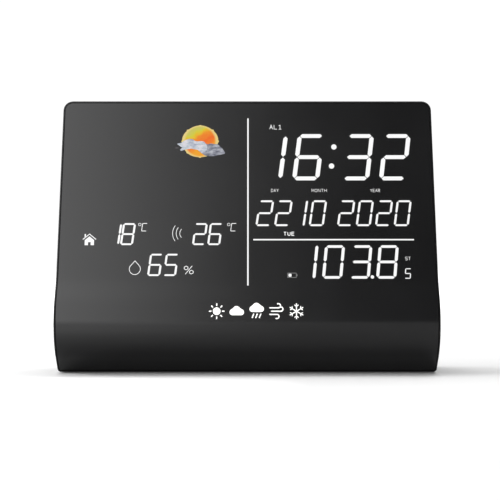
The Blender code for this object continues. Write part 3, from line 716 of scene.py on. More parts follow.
class Finishes(Enum):
    """Every finish that more than one piece may share."""

    CASE = MouldedPlastic(
        "case_finish", (0.0028, 0.0028, 0.0030), roughness=0.50, grain=1500.0,
        depth=0.004 * MM, strength=0.15, specular=0.14,
    )
    COVER = MouldedPlastic(
        "cover_finish", (0.0058, 0.0058, 0.0062), roughness=0.52, grain=1900.0,
        depth=0.030 * MM, strength=0.55, specular=0.34,
    )
    KEY = MouldedPlastic(
        "key_finish", (0.0130, 0.0130, 0.0140), roughness=0.42, grain=2600.0,
        depth=0.010 * MM, strength=0.30,
    )
    RUBBER = MouldedPlastic(
        "rubber_finish", (0.0120, 0.0120, 0.0120), roughness=0.85, grain=1500.0,
        depth=0.040 * MM, strength=0.60, specular=0.3,
    )
    MOULDING = MouldedPlastic(
        "black_moulding", (0.0100, 0.0100, 0.0100), roughness=0.48, grain=1800.0,
        depth=0.010 * MM, strength=0.30,
    )
    WHITE = MouldedPlastic(
        "white_moulding", (0.72, 0.72, 0.69), roughness=0.45, grain=1600.0,
        depth=0.010 * MM, strength=0.25,
    )
    PANEL = SmokedPanel()
    ZINC = PlatedMetal("zinc_plate", (0.52, 0.52, 0.53), roughness=0.34)
    NICKEL = PlatedMetal("nickel_plate", (0.68, 0.66, 0.62), roughness=0.28)
    COPPER = PlatedMetal("enamelled_copper", (0.72, 0.33, 0.14), roughness=0.30)
    SEGMENT = LitSegment("lit_segment", (0.99, 0.99, 0.99))
    WORD = LitSegment("lit_word", (0.99, 0.99, 0.99), strength=1.15)
    SYMBOL = LitSegment("lit_symbol", (0.99, 0.99, 0.99), strength=1.15)
    FAINT = LitSegment("faint_label", (0.24, 0.24, 0.24))
    # The chin's white print glows: painted light that keeps it bright white under the dim front light.
    PRINT = PrintedInk("white_print", (0.80, 0.80, 0.78), glow=0.75)
    COVER_PRINT = PrintedInk("grey_print", (0.42, 0.42, 0.41))
    BOARD = CircuitBoard()
    RIBBON = Ribbon()
    GLASS = ClearSheet(
        "display_glass_finish", (0.020, 0.022, 0.028), roughness=0.08, transmission=0.0, dots=900.0
    )
    GUIDE = ClearSheet("guide_finish", (0.72, 0.78, 0.80), roughness=0.12, transmission=0.8, dots=700.0)
    PAPER = StudioPaper()

    def material(self) -> bpy.types.Material:
        """The finish's material, made once."""
        return bpy.data.materials.get(self.value.name) or self.value.material()


# ---------------------------------------------------------------- mesh tools
def arc(centre: Point, radius: float, start: float, end: float, steps: int = 12) -> list[Point]:
    """Points along an arc.

    Args:
        centre: Its centre.
        radius: Its radius.
        start: Angle of the first point, in degrees from +X.
        end: Angle of the last point.
        steps: Number of stretches.

    Returns:
        The points.
    """
    turns = (math.radians(start + (end - start) * k / steps) for k in range(steps + 1))
    return [(centre[0] + radius * math.cos(t), centre[1] + radius * math.sin(t)) for t in turns]


def cut_across(bm: bmesh.types.BMesh, level: float) -> None:
    """Cuts a shape through at a height, so that it can bend there.

    Args:
        bm: The shape.
        level: The height.
    """
    bmesh.ops.bisect_plane(
        bm, geom=bm.verts[:] + bm.edges[:] + bm.faces[:], dist=1e-7,
        plane_co=(0.0, 0.0, level), plane_no=(0.0, 0.0, 1.0),
    )


def extrude_all(bm: bmesh.types.BMesh) -> list[bmesh.types.BMVert]:
    """Extrudes every face of a sheet, without moving it.

    Args:
        bm: The sheet.

    Returns:
        The new vertices.
    """
    grown = bmesh.ops.extrude_face_region(bm, geom=bm.faces[:])["geom"]
    return [part for part in grown if isinstance(part, bmesh.types.BMVert)]


def as_object(
    name: str, bm: bmesh.types.BMesh, material: bpy.types.Material, angle: float = 32.0
) -> bpy.types.Object:
    """Turns a bmesh into an object at the origin, smooth where faces meet gently.

    Args:
        name: The object's name.
        bm: The shape, which is freed.
        material: Its material.
        angle: Edges sharper than this many degrees stay crisp.

    Returns:
        The object.
    """
    mesh = bpy.data.meshes.new(name)
    bm.to_mesh(mesh)
    bm.free()
    mesh.shade_smooth()
    mesh.set_sharp_from_angle(angle=math.radians(angle))
    mesh.materials.append(material)
    made = bpy.data.objects.new(name, mesh)
    bpy.context.scene.collection.objects.link(made)
    return made


def settle(piece: bpy.types.Object, body: str) -> bpy.types.Object:
    """Gives a piece its body, and reports it.

    Args:
        piece: The finished piece.
        body: The body that it rides on.

    Returns:
        The piece.
    """
    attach(piece, body)
    LOG.info("%s rides on %s", piece.name, body)
    return piece


@dataclass
class Refined:
    """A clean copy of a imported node, with its gentle facets smoothed."""

    node: str
    finish: Finishes | None = None
    angle: float = 32.0
    weld: float = 0.002 * MM
    flat: float = 0.5

    def build(self, frame: dict, material: bpy.types.Material | None = None) -> bpy.types.Object:
        """Copies the node and stands the copy in for it.

        Args:
            frame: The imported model, with its nodes and its record.
            material: Used instead of the finish, where a piece has one of its own.

        Returns:
            The copy.
        """
        source = frame["nodes"][self.node]
        bm = bmesh.new()
        bm.from_mesh(source.data)
        bmesh.ops.remove_doubles(bm, verts=bm.verts, dist=self.weld)
        bmesh.ops.dissolve_limit(
            bm, angle_limit=math.radians(self.flat), verts=bm.verts, edges=bm.edges, delimit={"NORMAL"}
        )
        piece = as_object(self.node + "_part", bm, material or self.finish.material(), self.angle)
        flats = piece.modifiers.new("true_flats", "WEIGHTED_NORMAL")
        flats.keep_sharp = True
        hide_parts(self.node)
        bodies = frame["record"]["behaviour"]["bodies"]
        body = next(name for name, members in bodies.items() if self.node in members)
        return settle(piece, body)


# ---------------------------------------------------------------- front surface
@dataclass(frozen=True)
class FrontProfile:
    """Side profile of the front: a lean, a soft crease, a chin slope, a round chin, an undercut."""

    nose: float
    lean: float = math.radians(18.0)
    slope: float = math.radians(33.0)
    undercut: float = math.radians(48.0)
    chin_height: float = 27.0 * MM
    chin_radius: float = 25.0 * MM
    crease_height: float = 49.7 * MM
    crease_radius: float = 30.0 * MM

    @property
    def chin_top(self) -> Point:
        """Depth and height where the chin's arc meets its slope."""
        drop = self.chin_radius * (1 - math.cos(self.slope))
        return drop, self.chin_height + self.chin_radius * math.sin(self.slope)

    @property
    def chin_low(self) -> Point:
        """Depth and height where the chin's arc meets the undercut."""
        drop = self.chin_radius * (1 - math.cos(self.undercut))
        return drop, self.chin_height - self.chin_radius * math.sin(self.undercut)

    @property
    def crease(self) -> Point:
        """Depth and height where the lean and the slope would meet in a sharp crease."""
        depth, height = self.chin_top
        return depth + (self.crease_height - height) * math.tan(self.slope), self.crease_height

    @property
    def crease_span(self) -> Point:
        """Heights between which the crease is eased.

        Returns:
            The lower and the upper height.
        """
        run = self.crease_radius * math.tan((self.slope - self.lean) / 2)
        return (
            self.crease_height - run * math.cos(self.slope),
            self.crease_height + run * math.cos(self.lean),
        )

    def depth(self, height: float) -> float:
        """Depth of the surface behind the nose.

        Args:
            height: Height above the desk.

        Returns:
            The depth, in metres.
        """
        low, high = self.crease_span
        depth, corner = self.crease
        if height >= high:
            return depth + (height - corner) * math.tan(self.lean)
        if height >= low:
            middle = high + self.crease_radius * math.sin(self.lean)
            ahead = depth + (high - corner) * math.tan(self.lean) - self.crease_radius * math.cos(self.lean)
            return ahead + math.sqrt(self.crease_radius**2 - (height - middle) ** 2)
        start, top = self.chin_top
        if height >= top:
            return start + (height - top) * math.tan(self.slope)
        start, bottom = self.chin_low
        if height >= bottom:
            return self.chin_radius - math.sqrt(self.chin_radius**2 - (height - self.chin_height) ** 2)
        return start + (bottom - height) * math.tan(self.undercut)

    def y(self, height: float) -> float:
        """Y of the surface at a height."""
        return self.nose + self.depth(height)

    def outward(self, height: float) -> Vector:
        """The surface's outward normal at a height.

        Args:
            height: Height above the desk.

        Returns:
            A vector of length 1.
        """
        step = 0.05 * MM
        rise = (self.depth(height + step) - self.depth(height - step)) / (2 * step)
        return Vector((0.0, -1.0, rise)).normalized()

    def levels(self, spacing: float) -> list[float]:
        """Heights that a mesh needs rows at to follow the curves.

        Args:
            spacing: Distance between rows.

        Returns:
            The heights, from the undercut to the top of the crease.
        """
        bottom, top = self.chin_low[1], self.crease_span[1]
        count = math.ceil((top - bottom) / spacing)
        return [bottom + (top - bottom) * k / count for k in range(count + 1)]


class Side(Enum):
    """Side of the station that marks are on, each with a material slot's name."""

    FRONT = "display_glass"
    BACK = "cover_black"


@dataclass
class Surface:
    """A shell's surface that marks are laid on, given by height alone."""

    side: Side
    y: Callable[[float], float]
    outward: Callable[[float], Vector]
    levels: Sequence[float] = ()

    def spot(self, x: float, z: float, proud: float) -> Vector:
        """A point on or near the surface.

        Args:
            x: Across.
            z: Height.
            proud: Distance outside the surface.

        Returns:
            The point.
        """
        return Vector((x, self.y(z), z)) + self.outward(z) * proud


@dataclass
class Panel:
    """The smoked panel: a sheet that covers the front and curls round the chin to the sole."""

    profile: FrontProfile
    thickness: float = 2.0 * MM
    corner_top: float = 3.8 * MM
    corner_sole: float = 0.5 * MM
    edge: float = 0.30 * MM
    border: float = 0.55 * MM
    spacing: float = 0.8 * MM

    def outline(self, low: Vector, high: Vector) -> list[Point]:
        """Front view of the sheet.

        Args:
            low: Lowest corner of its box.
            high: Highest corner of its box.

        Returns:
            Points (x, z), anticlockwise.
        """
        corners = (
            (high.x, low.z, self.corner_sole, -90), (high.x, high.z, self.corner_top, 0),
            (low.x, high.z, self.corner_top, 90), (low.x, low.z, self.corner_sole, 180),
        )
        points: list[Point] = []
        for x, z, radius, start in corners:
            centre_x = x - math.copysign(radius, x)
            centre_z = z - math.copysign(radius, z - (low.z + high.z) / 2)
            points += arc((centre_x, centre_z), radius, start, start + 90, 8)
        return points

    def build(self) -> bpy.types.Object:
        """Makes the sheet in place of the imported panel.

        Returns:
            The panel.
        """
        low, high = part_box("front_lens")
        # The sheet starts flat and 1 m deep, so Y alone tells its face from its back.
        bm = bmesh.new()
        face = bm.faces.new([bm.verts.new((x, 0.0, z)) for x, z in self.outline(low, high)])
        bmesh.ops.inset_region(
            bm, faces=[face], thickness=self.border, use_boundary=True, use_even_offset=True
        )
        bmesh.ops.translate(bm, verts=extrude_all(bm), vec=(0.0, 1.0, 0.0))
        levels = self.profile.levels(self.spacing)
        for level in (*levels, levels[0] - self.border, levels[-1] + self.border):
            cut_across(bm, level)
        bmesh.ops.recalc_face_normals(bm, faces=bm.faces)
        rim = [
            edge for edge in bm.edges
            if all(v.co.y < 0.5 for v in edge.verts)
            and sorted(abs(f.normal.y) > 0.5 for f in edge.link_faces) == [False, True]
        ]
        for v in bm.verts:
            behind = self.thickness if v.co.y > 0.5 else 0.0
            v.co.y = self.profile.y(v.co.z) + behind
        bmesh.ops.bevel(
            bm, geom=rim, offset=self.edge, segments=3, profile=0.5, affect="EDGES", material=-1,
            clamp_overlap=True,
        )
        bmesh.ops.recalc_face_normals(bm, faces=bm.faces)
        panel = as_object("smoked_panel", bm, Finishes.PANEL.material(), 40.0)
        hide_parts("front_lens")
        return settle(panel, "housing")


# ---------------------------------------------------------------- flat marks
# Strokes of plain capitals, each a path of (across, up) points in a unit box.
STROKES: dict[str, tuple[tuple[Point, ...], ...]] = {
    "A": (((0, 0), (0.5, 1), (1, 0)), ((0.2, 0.36), (0.8, 0.36))),
    "D": (((0, 0), (0, 1), (0.55, 1), (1, 0.72), (1, 0.28), (0.55, 0), (0, 0)),),
    "E": (((1, 1), (0, 1), (0, 0), (1, 0)), ((0, 0.5), (0.85, 0.5))),
    "H": (((0, 0), (0, 1)), ((1, 0), (1, 1)), ((0, 0.5), (1, 0.5))),
    "L": (((0, 1), (0, 0), (1, 0)),),
    "M": (((0, 0), (0, 1), (0.5, 0.3), (1, 1), (1, 0)),),
    "N": (((0, 0), (0, 1), (1, 0), (1, 1)),),
    "O": (((0.3, 0), (0, 0.3), (0, 0.7), (0.3, 1), (0.7, 1), (1, 0.7), (1, 0.3), (0.7, 0), (0.3, 0)),),
    "R": (((0, 0), (0, 1), (0.75, 1), (1, 0.85), (1, 0.6), (0.75, 0.45), (0, 0.45)),
          ((0.45, 0.45), (1, 0))),
    "S": (((1, 0.88), (0.7, 1), (0.3, 1), (0, 0.82), (0, 0.65), (0.3, 0.53),
           (0.7, 0.47), (1, 0.35), (1, 0.18), (0.7, 0), (0.3, 0), (0, 0.12)),),
    "T": (((0, 1), (1, 1)), ((0.5, 0), (0.5, 1))),
    "U": (((0, 1), (0, 0.25), (0.3, 0), (0.7, 0), (1, 0.25), (1, 1)),),
    "Y": (((0, 1), (0.5, 0.5), (1, 1)), ((0.5, 0.5), (0.5, 0))),
    "1": (((0.1, 0.8), (0.55, 1), (0.55, 0)), ((0.1, 0), (1, 0))),
    "%": (((0.14, 0), (0.86, 1)),
          ((0.22, 0.52), (0.02, 0.65), (0.02, 0.85), (0.22, 0.98),
           (0.42, 0.85), (0.42, 0.65), (0.22, 0.52)),
          ((0.78, 0.02), (0.58, 0.15), (0.58, 0.35), (0.78, 0.48),
           (0.98, 0.35), (0.98, 0.15), (0.78, 0.02))),
}


class Artwork:
    """Flat shapes in millimetres, x across and z up, that are laid on a surface as one piece."""

    letter_gap: float = 0.22

    def __init__(self, name: str) -> None:
        """Starts an empty piece of artwork.

        Args:
            name: The piece's name.
        """
        self.name = name
        self.bm = bmesh.new()

    def polygon(self, points: Iterable[Point]) -> None:
        """Adds a filled outline.

        Args:
            points: Its corners in order.
        """
        self.bm.faces.new([self.bm.verts.new((x * MM, 0.0, z * MM)) for x, z in points])

    def bar(self, x0: float, z0: float, x1: float, z1: float) -> None:
        """Adds an upright rectangle between two corners."""
        self.polygon(((x0, z0), (x1, z0), (x1, z1), (x0, z1)))

    def disc(self, centre: Point, radius: float, sides: int = 24) -> None:
        """Adds a filled circle."""
        self.polygon(arc(centre, radius, 0, 360, sides)[:-1])

    def line(self, path: Sequence[Point], width: float, closed: bool = False) -> None:
        """Adds a stroke of even width with mitred corners.

        Args:
            path: Points along the middle of the stroke.
            width: Its width.
            closed: Whether the last point joins the first.
        """
        count = len(path)
        rails = []
        for k, (x, z) in enumerate(path):
            before = path[k - 1] if closed or k else path[k]
            after = path[(k + 1) % count] if closed or k < count - 1 else path[k]
            way_in = Vector((x - before[0], z - before[1])).normalized()
            way_out = Vector((after[0] - x, after[1] - z)).normalized()
            along = (way_in + way_out).normalized()
            turn = way_in if way_in.length else way_out
            reach = width / 2 / max(0.35, abs(along.dot(turn)))
            side = Vector((-along.y, along.x)) * reach
            rails.append([
                self.bm.verts.new(((x + side.x * s) * MM, 0.0, (z + side.y * s) * MM)) for s in (1, -1)
            ])
        pairs = list(zip(rails, rails[1:]))
        if closed:
            pairs.append((rails[-1], rails[0]))
        for first, second in pairs:
            self.bm.faces.new((first[0], first[1], second[1], second[0]))

    def word(self, letters: str, x0: float, z0: float, x1: float, z1: float, width: float) -> None:
        """Adds plain capitals, drawn with an even stroke, that fill a rectangle.

        Args:
            letters: Keys of STROKES.
            x0: Left edge.
            z0: Lower edge.
            x1: Right edge.
            z1: Upper edge.
            width: Width of the stroke.
        """
        pitch = (x1 - x0) / (len(letters) - self.letter_gap)
        wide, tall = (1 - self.letter_gap) * pitch - width, z1 - z0 - width
        for k, letter in enumerate(letters):
            left, base = x0 + k * pitch + width / 2, z0 + width / 2
            for path in STROKES[letter]:
                spots = [(left + u * wide, base + v * tall) for u, v in path]
                closed = path[0] == path[-1]
                self.line(spots[:-1] if closed else spots, width, closed)

    def lay(
        self, surface: Surface, material: bpy.types.Material, proud: float = 0.03 * MM
    ) -> bpy.types.Object:
        """Lays the shapes on a surface as thin plates.

        Args:
            surface: What they lie on.
            material: Their material.
            proud: How far they stand out. They reach as far into the surface.

        Returns:
            The piece.
        """
        bm = self.bm
        bmesh.ops.remove_doubles(bm, verts=bm.verts, dist=0.001 * MM)
        heights = [v.co.z for v in bm.verts]
        for level in surface.levels:
            if min(heights) < level < max(heights):
                cut_across(bm, level)
        outer = set(extrude_all(bm))
        for v in bm.verts:
            v.co = surface.spot(v.co.x, v.co.z, proud if v in outer else -proud)
        bmesh.ops.recalc_face_normals(bm, faces=bm.faces)
        piece = as_object(self.name, bm, material, 20.0)
        return settle(piece, "housing")


# ---------------------------------------------------------------- segment figures
class Segment(Enum):
    """The seven segments, each by the two corners of the figure that it joins.

    A corner is (0 left or 1 right, 0 bottom, 1 middle or 2 top).
    """

    TOP = ((0, 2), (1, 2))
    UPPER_RIGHT = ((1, 1), (1, 2))
    LOWER_RIGHT = ((1, 0), (1, 1))
    BOTTOM = ((0, 0), (1, 0))
    LOWER_LEFT = ((0, 0), (0, 1))
    UPPER_LEFT = ((0, 1), (0, 2))
    MIDDLE = ((0, 1), (1, 1))


S = Segment
FIGURES: dict[str, set[Segment]] = {
    "0": set(Segment) - {S.MIDDLE},
    "1": {S.UPPER_RIGHT, S.LOWER_RIGHT},
    "2": set(Segment) - {S.UPPER_LEFT, S.LOWER_RIGHT},
    "3": set(Segment) - {S.UPPER_LEFT, S.LOWER_LEFT},
    "5": set(Segment) - {S.UPPER_RIGHT, S.LOWER_LEFT},
    "6": set(Segment) - {S.UPPER_RIGHT},
    "8": set(Segment),
    "C": {S.TOP, S.UPPER_LEFT, S.LOWER_LEFT, S.BOTTOM},
}


@dataclass(frozen=True)
class FigureStyle:
    """Proportions of a row of seven-segment figures, in millimetres, with the slant in degrees."""

    base: float
    height: float
    width: float
    upright: float
    level: float
    slant: float
    gap: float = 0.0
    tall_one: bool = False

    def draw(self, art: Artwork, figure: str, left: float) -> None:
        """Draws one figure.

        Args:
            art: The artwork that it joins.
            figure: A key of FIGURES.
            left: X of its lower left corner.
        """
        margin = self.upright / 2
        foot = 0.0 if self.tall_one and figure == "1" else self.level / 2
        across = (margin, self.width - margin)
        up = (foot, self.height / 2, self.height - foot)
        lean = math.tan(math.radians(self.slant))
        for segment in (each for each in Segment if each in FIGURES[figure]):
            (u0, v0), (u1, v1) = ((across[c], up[r]) for c, r in segment.value)
            way = Vector((1, 0)) if v0 == v1 else Vector((0, 1))
            half = self.level / 2 if v0 == v1 else margin
            side = Vector((-way.y, way.x)) * half
            start = Vector((u0, v0)) + way * self.gap
            end = Vector((u1, v1)) - way * self.gap
            outline = (
                start, start + way * half - side, end - way * half - side,
                end, end - way * half + side, start + way * half + side,
            )
            art.polygon((left + p.x + p.y * lean, self.base + p.y) for p in outline)


@dataclass
class Reading:
    """One number on the display, in millimetres.

    Each figure has the X of its lower left corner, and each dot is (x, z, radius).
    """

    name: str
    style: FigureStyle
    figures: str
    lefts: tuple[float, ...]
    dots: tuple[tuple[float, float, float], ...] = ()

    def build(self, surface: Surface) -> bpy.types.Object:
        """Draws the number.

        Args:
            surface: The panel's surface.

        Returns:
            The piece.
        """
        art = Artwork(self.name)
        for figure, left in zip(self.figures, self.lefts):
            self.style.draw(art, figure, left)
        for x, z, radius in self.dots:
            art.disc((x, z), radius)
        return art.lay(surface, Finishes.SEGMENT.material())


def readings() -> list[Reading]:
    """The numbers that the display shows.

    Returns:
        The readings, from the top right to the lower left.
    """
    time = FigureStyle(
        base=102.15, height=25.4, width=14.55, upright=2.3, level=2.1, slant=7.8, gap=0.22
    )
    date = FigureStyle(
        base=77.55, height=13.8, width=7.95, upright=1.1, level=0.98, slant=8.9, gap=0.18, tall_one=True
    )
    pressure = FigureStyle(
        base=49.9, height=17.5, width=10.55, upright=1.55, level=1.35, slant=6.4, gap=0.17, tall_one=True
    )
    unit = FigureStyle(base=49.9, height=5.4, width=3.2, upright=0.5, level=0.45, slant=6.0)
    room = FigureStyle(
        base=67.5, height=11.6, width=6.85, upright=1.05, level=0.9, slant=7.0, gap=0.08
    )
    damp = replace(room, base=51.3)
    return [
        Reading("time_figures", time, "1632", (4.1, 23.9, 50.6, 70.4),
                ((46.7, 120.45, 1.45), (45.25, 109.95, 1.45))),
        Reading("date_figures", date, "22102020", (4.3, 14.2, 22.4, 32.5, 47.5, 57.4, 67.6, 77.5)),
        Reading("pressure_figures", pressure, "1038", (25.1, 39.1, 53.5, 67.4), ((65.5, 50.8, 0.9),)),
        Reading("pressure_unit", unit, "5", (82.3,)),
        Reading("indoor_figures", room, "18", (-74.4, -67.1)),
        Reading("outdoor_figures", room, "26", (-29.1, -21.1)),
        Reading("humidity_figures", damp, "65", (-52.4, -44.1)),
    ]


@dataclass
class DisplayMarks:
    """Dividers, words and small symbols of the display, in millimetres."""

    surface: Surface
    upright: float = 0.78
    upright_x: float = 0.4
    upright_span: Point = (46.4, 136.3)
    level: float = 0.72
    level_z: float = 70.35
    level_span: Point = (3.2, 88.0)
    sun_centre: Point = (-25.4, 123.5)
    sun_radius: float = 9.75
    sun_squash: float = 0.90
    sun_flare: float = 0.045
    sun_ripple: float = 0.012

    def dividers(self) -> None:
        """The upright line between the halves and the level line under the date."""
        art = Artwork("display_dividers")
        low, high = self.upright_span
        art.bar(self.upright_x - self.upright / 2, low, self.upright_x + self.upright / 2, high)
        left, right = self.level_span
        art.bar(left, self.level_z - self.level / 2, right, self.level_z + self.level / 2)
        art.lay(self.surface, Finishes.SEGMENT.material())

    def words(self) -> None:
        """Plain words beside the numbers, each with the box that it fills and its stroke's width."""
        art = Artwork("display_words")
        for letters, box, width in (
            ("AL1", (12.0, 130.2, 18.6, 132.7), 0.25), ("DAY", (12.75, 95.8, 16.75, 97.5), 0.15),
            ("MONTH", (34.35, 95.8, 42.45, 97.5), 0.15), ("YEAR", (65.65, 95.8, 70.85, 97.5), 0.15),
            ("ST", (83.0, 59.5, 85.9, 61.3), 0.16), ("%", (-33.2, 52.1, -28.0, 56.7), 0.29),
            ("TUE", (19.2, 72.4, 25.0, 74.5), 0.34),
        ):
            art.word(letters, *box, width)
        art.lay(self.surface, Finishes.WORD.material())

    def degrees(self) -> None:
        """Degree signs after the two temperatures."""
        art = Artwork("degree_signs")
        style = FigureStyle(base=74.8, height=4.3, width=2.8, upright=0.32, level=0.30, slant=7.0)
        for left in (-57.7, -10.6):
            art.line(arc((left + 0.85, 78.4), 0.72, 0, 337.5, 15), 0.20, closed=True)
            style.draw(art, "C", left + 1.7)
        art.lay(self.surface, Finishes.SYMBOL.material())

    def house(self) -> None:
        """House symbol of the indoor reading."""
        art = Artwork("house_symbol")
        x, base = -83.2, 67.45
        art.line(((x - 3.5, base + 3.0), (x, base + 5.85), (x + 3.5, base + 3.0)), 0.42)
        art.polygon((
            (x - 2.45, base), (x - 0.7, base), (x - 0.7, base + 1.6),
            (x + 0.7, base + 1.6), (x + 0.7, base), (x + 2.45, base),
            (x + 2.45, base + 2.65), (x, base + 4.65), (x - 2.45, base + 2.65),
        ))
        art.polygon((
            (x - 2.6, base + 4.25), (x - 1.9, base + 4.8), (x - 1.9, base + 5.9), (x - 2.6, base + 5.9),
        ))
        art.lay(self.surface, Finishes.SEGMENT.material())

    def signal(self) -> None:
        """Radio symbol of the outdoor reading: three arcs."""
        art = Artwork("signal_symbol")
        for radius, reach in ((7.0, 36), (5.1, 38), (3.2, 44)):
            art.line(arc((-32.4, 73.7), radius, 180 - reach, 180 + reach, 10), 0.25)
        art.lay(self.surface, Finishes.SYMBOL.material())

    def drop(self) -> None:
        """Drop symbol of the humidity reading, as an outline."""
        art = Artwork("drop_symbol")
        centre = (-58.85, 54.95)
        path = [(centre[0], 59.2), *arc(centre, 2.9, 152, 388, 20)]
        art.line(path, 0.28, closed=True)
        art.lay(self.surface, Finishes.SYMBOL.material())

    def battery(self) -> None:
        """Low-battery symbol: a thin outline with a nub, and one cell left in it."""
        outline = Artwork("battery_outline")
        outline.line(((21.2, 50.55), (25.7, 50.55), (25.7, 52.8), (21.2, 52.8)), 0.24, closed=True)
        outline.bar(25.95, 51.2, 26.3, 52.15)
        outline.lay(self.surface, Finishes.FAINT.material())
        cell = Artwork("battery_level")
        cell.disc((22.45, 51.68), 0.85, 16)
        cell.bar(21.7, 50.95, 23.2, 52.4)
        cell.lay(self.surface, Finishes.SEGMENT.material(), 0.04 * MM)

    def sun(self) -> None:
        """Coloured sun of the forecast, with small flares round its rim."""
        art = Artwork("forecast_sun")
        x, z = self.sun_centre
        corners, flares, ripples = 72, 8, 5
        rim = []
        for k in range(corners):
            turn = 2 * math.pi * k / corners
            ripple = self.sun_ripple * math.sin(ripples * turn)
            reach = self.sun_radius * (1 + (ripple if k % (corners // flares) else self.sun_flare))
            rim.append((x + reach * math.cos(turn), z + reach * self.sun_squash * math.sin(turn)))
        art.polygon(rim)
        finish = SunPicture("sun_picture", (x * MM, z * MM), self.sun_radius * self.sun_squash * MM)
        art.lay(self.surface, finish.material())

    def cloud(self) -> None:
        """Cloud bank that drifts across the sun: a grey lobe at the right, a bright one at the left."""
        right = Artwork("forecast_cloud_right")
        right.polygon((
            (-26.5, 118.6), (-25.4, 121.3), (-23.6, 122.6), (-21.2, 121.9), (-19.6, 122.4), (-17.6, 122.0),
            (-16.0, 122.0), (-14.9, 121.0), (-13.7, 119.9), (-12.6, 118.4), (-11.9, 117.3), (-12.2, 116.7),
            (-14.9, 116.1), (-18.0, 115.4), (-20.4, 115.4), (-22.6, 115.6), (-24.5, 116.9),
        ))
        grey = CloudPicture(
            "grey_cloud_picture",
            dark=(0.12, 0.13, 0.17), light=(0.30, 0.31, 0.37), crest=(0.55, 0.57, 0.62),
        )
        right.lay(self.surface, grey.material(), 0.06 * MM)
        left = Artwork("forecast_cloud_left")
        left.polygon((
            (-37.9, 122.2), (-35.6, 122.7), (-34.4, 123.6), (-33.2, 124.3), (-31.2, 124.9), (-29.4, 124.7),
            (-28.3, 123.8), (-26.8, 123.5), (-24.8, 123.7), (-23.2, 123.3), (-22.3, 122.1), (-21.5, 120.6),
            (-21.8, 118.6), (-23.0, 117.4), (-24.6, 117.3), (-26.6, 118.8), (-30.0, 119.5), (-33.0, 119.1),
            (-35.7, 118.3), (-36.2, 118.9), (-35.0, 120.1), (-36.3, 120.9),
        ))
        pale = CloudPicture(
            "pale_cloud_picture",
            dark=(0.36, 0.36, 0.50), light=(0.56, 0.62, 0.68), crest=(0.80, 0.76, 0.82),
        )
        left.lay(self.surface, pale.material(), 0.09 * MM)
        wisp = Artwork("forecast_wisp")
        wisp.polygon(((-39.3, 119.8), (-38.1, 120.3), (-36.6, 120.0), (-37.9, 119.5)))
        faint = CloudPicture(
            "faint_cloud_picture",
            dark=(0.08, 0.07, 0.08), light=(0.11, 0.09, 0.09), crest=(0.14, 0.12, 0.12),
        )
        wisp.lay(self.surface, faint.material())

    def build(self) -> None:
        """Draws every mark."""
        for draw in (
            self.dividers, self.words, self.degrees, self.house, self.signal, self.drop,
            self.battery, self.sun, self.cloud,
        ):
            draw()


@dataclass
class ChinPictograms:
    """A printed row of weather pictograms on the chin, in millimetres: sun, cloud, rain, wind, snow."""

    surface: Surface
    middle: Point = (4.9, 33.3)
    pitch: float = 10.3
    size: float = 4.1

    def sun(self, art: Artwork, x: float, z: float) -> None:
        """Disc with eight rays.

        Args:
            art: The artwork that it joins.
            x: Its middle across.
            z: Its middle height.
        """
        art.disc((x, z), self.size * 0.48)
        for k in range(8):
            turn = math.radians(45 * k)
            way = Vector((math.cos(turn), math.sin(turn)))
            near, far = way * self.size * 0.66, way * self.size * 0.98
            art.line(((x + near.x, z + near.y), (x + far.x, z + far.y)), 0.62)

    def puff(self, art: Artwork, x: float, z: float) -> None:
        """Flat-bottomed cloud.

        Args:
            art: The artwork that it joins.
            x: Its middle across.
            z: Its middle height.
        """
        s = self.size
        outline = arc((x - 0.52 * s, z - 0.02 * s), 0.38 * s, 270, 110, 8)
        outline += arc((x - 0.02 * s, z + 0.26 * s), 0.48 * s, 150, 35, 8)
        outline += arc((x + 0.55 * s, z - 0.02 * s), 0.38 * s, 75, -90, 8)
        art.polygon(reversed(outline))

    def cloud(self, art: Artwork, x: float, z: float) -> None:
        """Cloud alone."""
        self.puff(art, x, z - 0.10 * self.size)

    def rain(self, art: Artwork, x: float, z: float) -> None:
        """Cloud with three falling drops.

        Args:
            art: The artwork that it joins.
            x: Its middle across.
            z: Its middle height.
        """
        s = self.size
        self.puff(art, x, z + 0.30 * s)
        for k in (-1, 0, 1):
            top = (x + 0.45 * s * k + 0.10 * s, z - 0.30 * s)
            art.line((top, (top[0] - 0.22 * s, top[1] - 0.55 * s)), 0.62)

    def wind(self, art: Artwork, x: float, z: float) -> None:
        """Three streaks with curled ends.

        Args:
            art: The artwork that it joins.
            x: Its middle across.
            z: Its middle height.
        """
        s = self.size
        radius = 0.26 * s
        streaks = ((0.42, -0.9, 0.25, 1), (0.0, -0.7, 0.55, 1), (-0.40, -0.9, 0.05, -1))
        for rise, left, right, curl in streaks:
            centre = (x + right * s, z + rise * s + curl * radius)
            hook = arc(centre, radius, -90 * curl, 130 * curl, 10)
            art.line([(x + left * s, z + rise * s), *hook], 0.6)

    def snow(self, art: Artwork, x: float, z: float) -> None:
        """Six-armed crystal with barbs.

        Args:
            art: The artwork that it joins.
            x: Its middle across.
            z: Its middle height.
        """
        for k in range(6):
            turn = math.radians(60 * k + 30)
            way = Vector((math.cos(turn), math.sin(turn)))
            tip = way * self.size * 0.98
            art.line(((x, z), (x + tip.x, z + tip.y)), 0.52)
            root = way * self.size * 0.60
            for side in (-1, 1):
                bend = turn + side * math.radians(55)
                barb = root + Vector((math.cos(bend), math.sin(bend))) * self.size * 0.32
                art.line(((x + root.x, z + root.y), (x + barb.x, z + barb.y)), 0.45)

    def build(self) -> None:
        """Prints the row."""
        art = Artwork("chin_pictograms")
        x, z = self.middle
        for k, draw in enumerate((self.sun, self.cloud, self.rain, self.wind, self.snow)):
            draw(art, x + (k - 2) * self.pitch, z)
        # The white print glows with painted light.
        art.lay(self.surface, Finishes.PRINT.material())


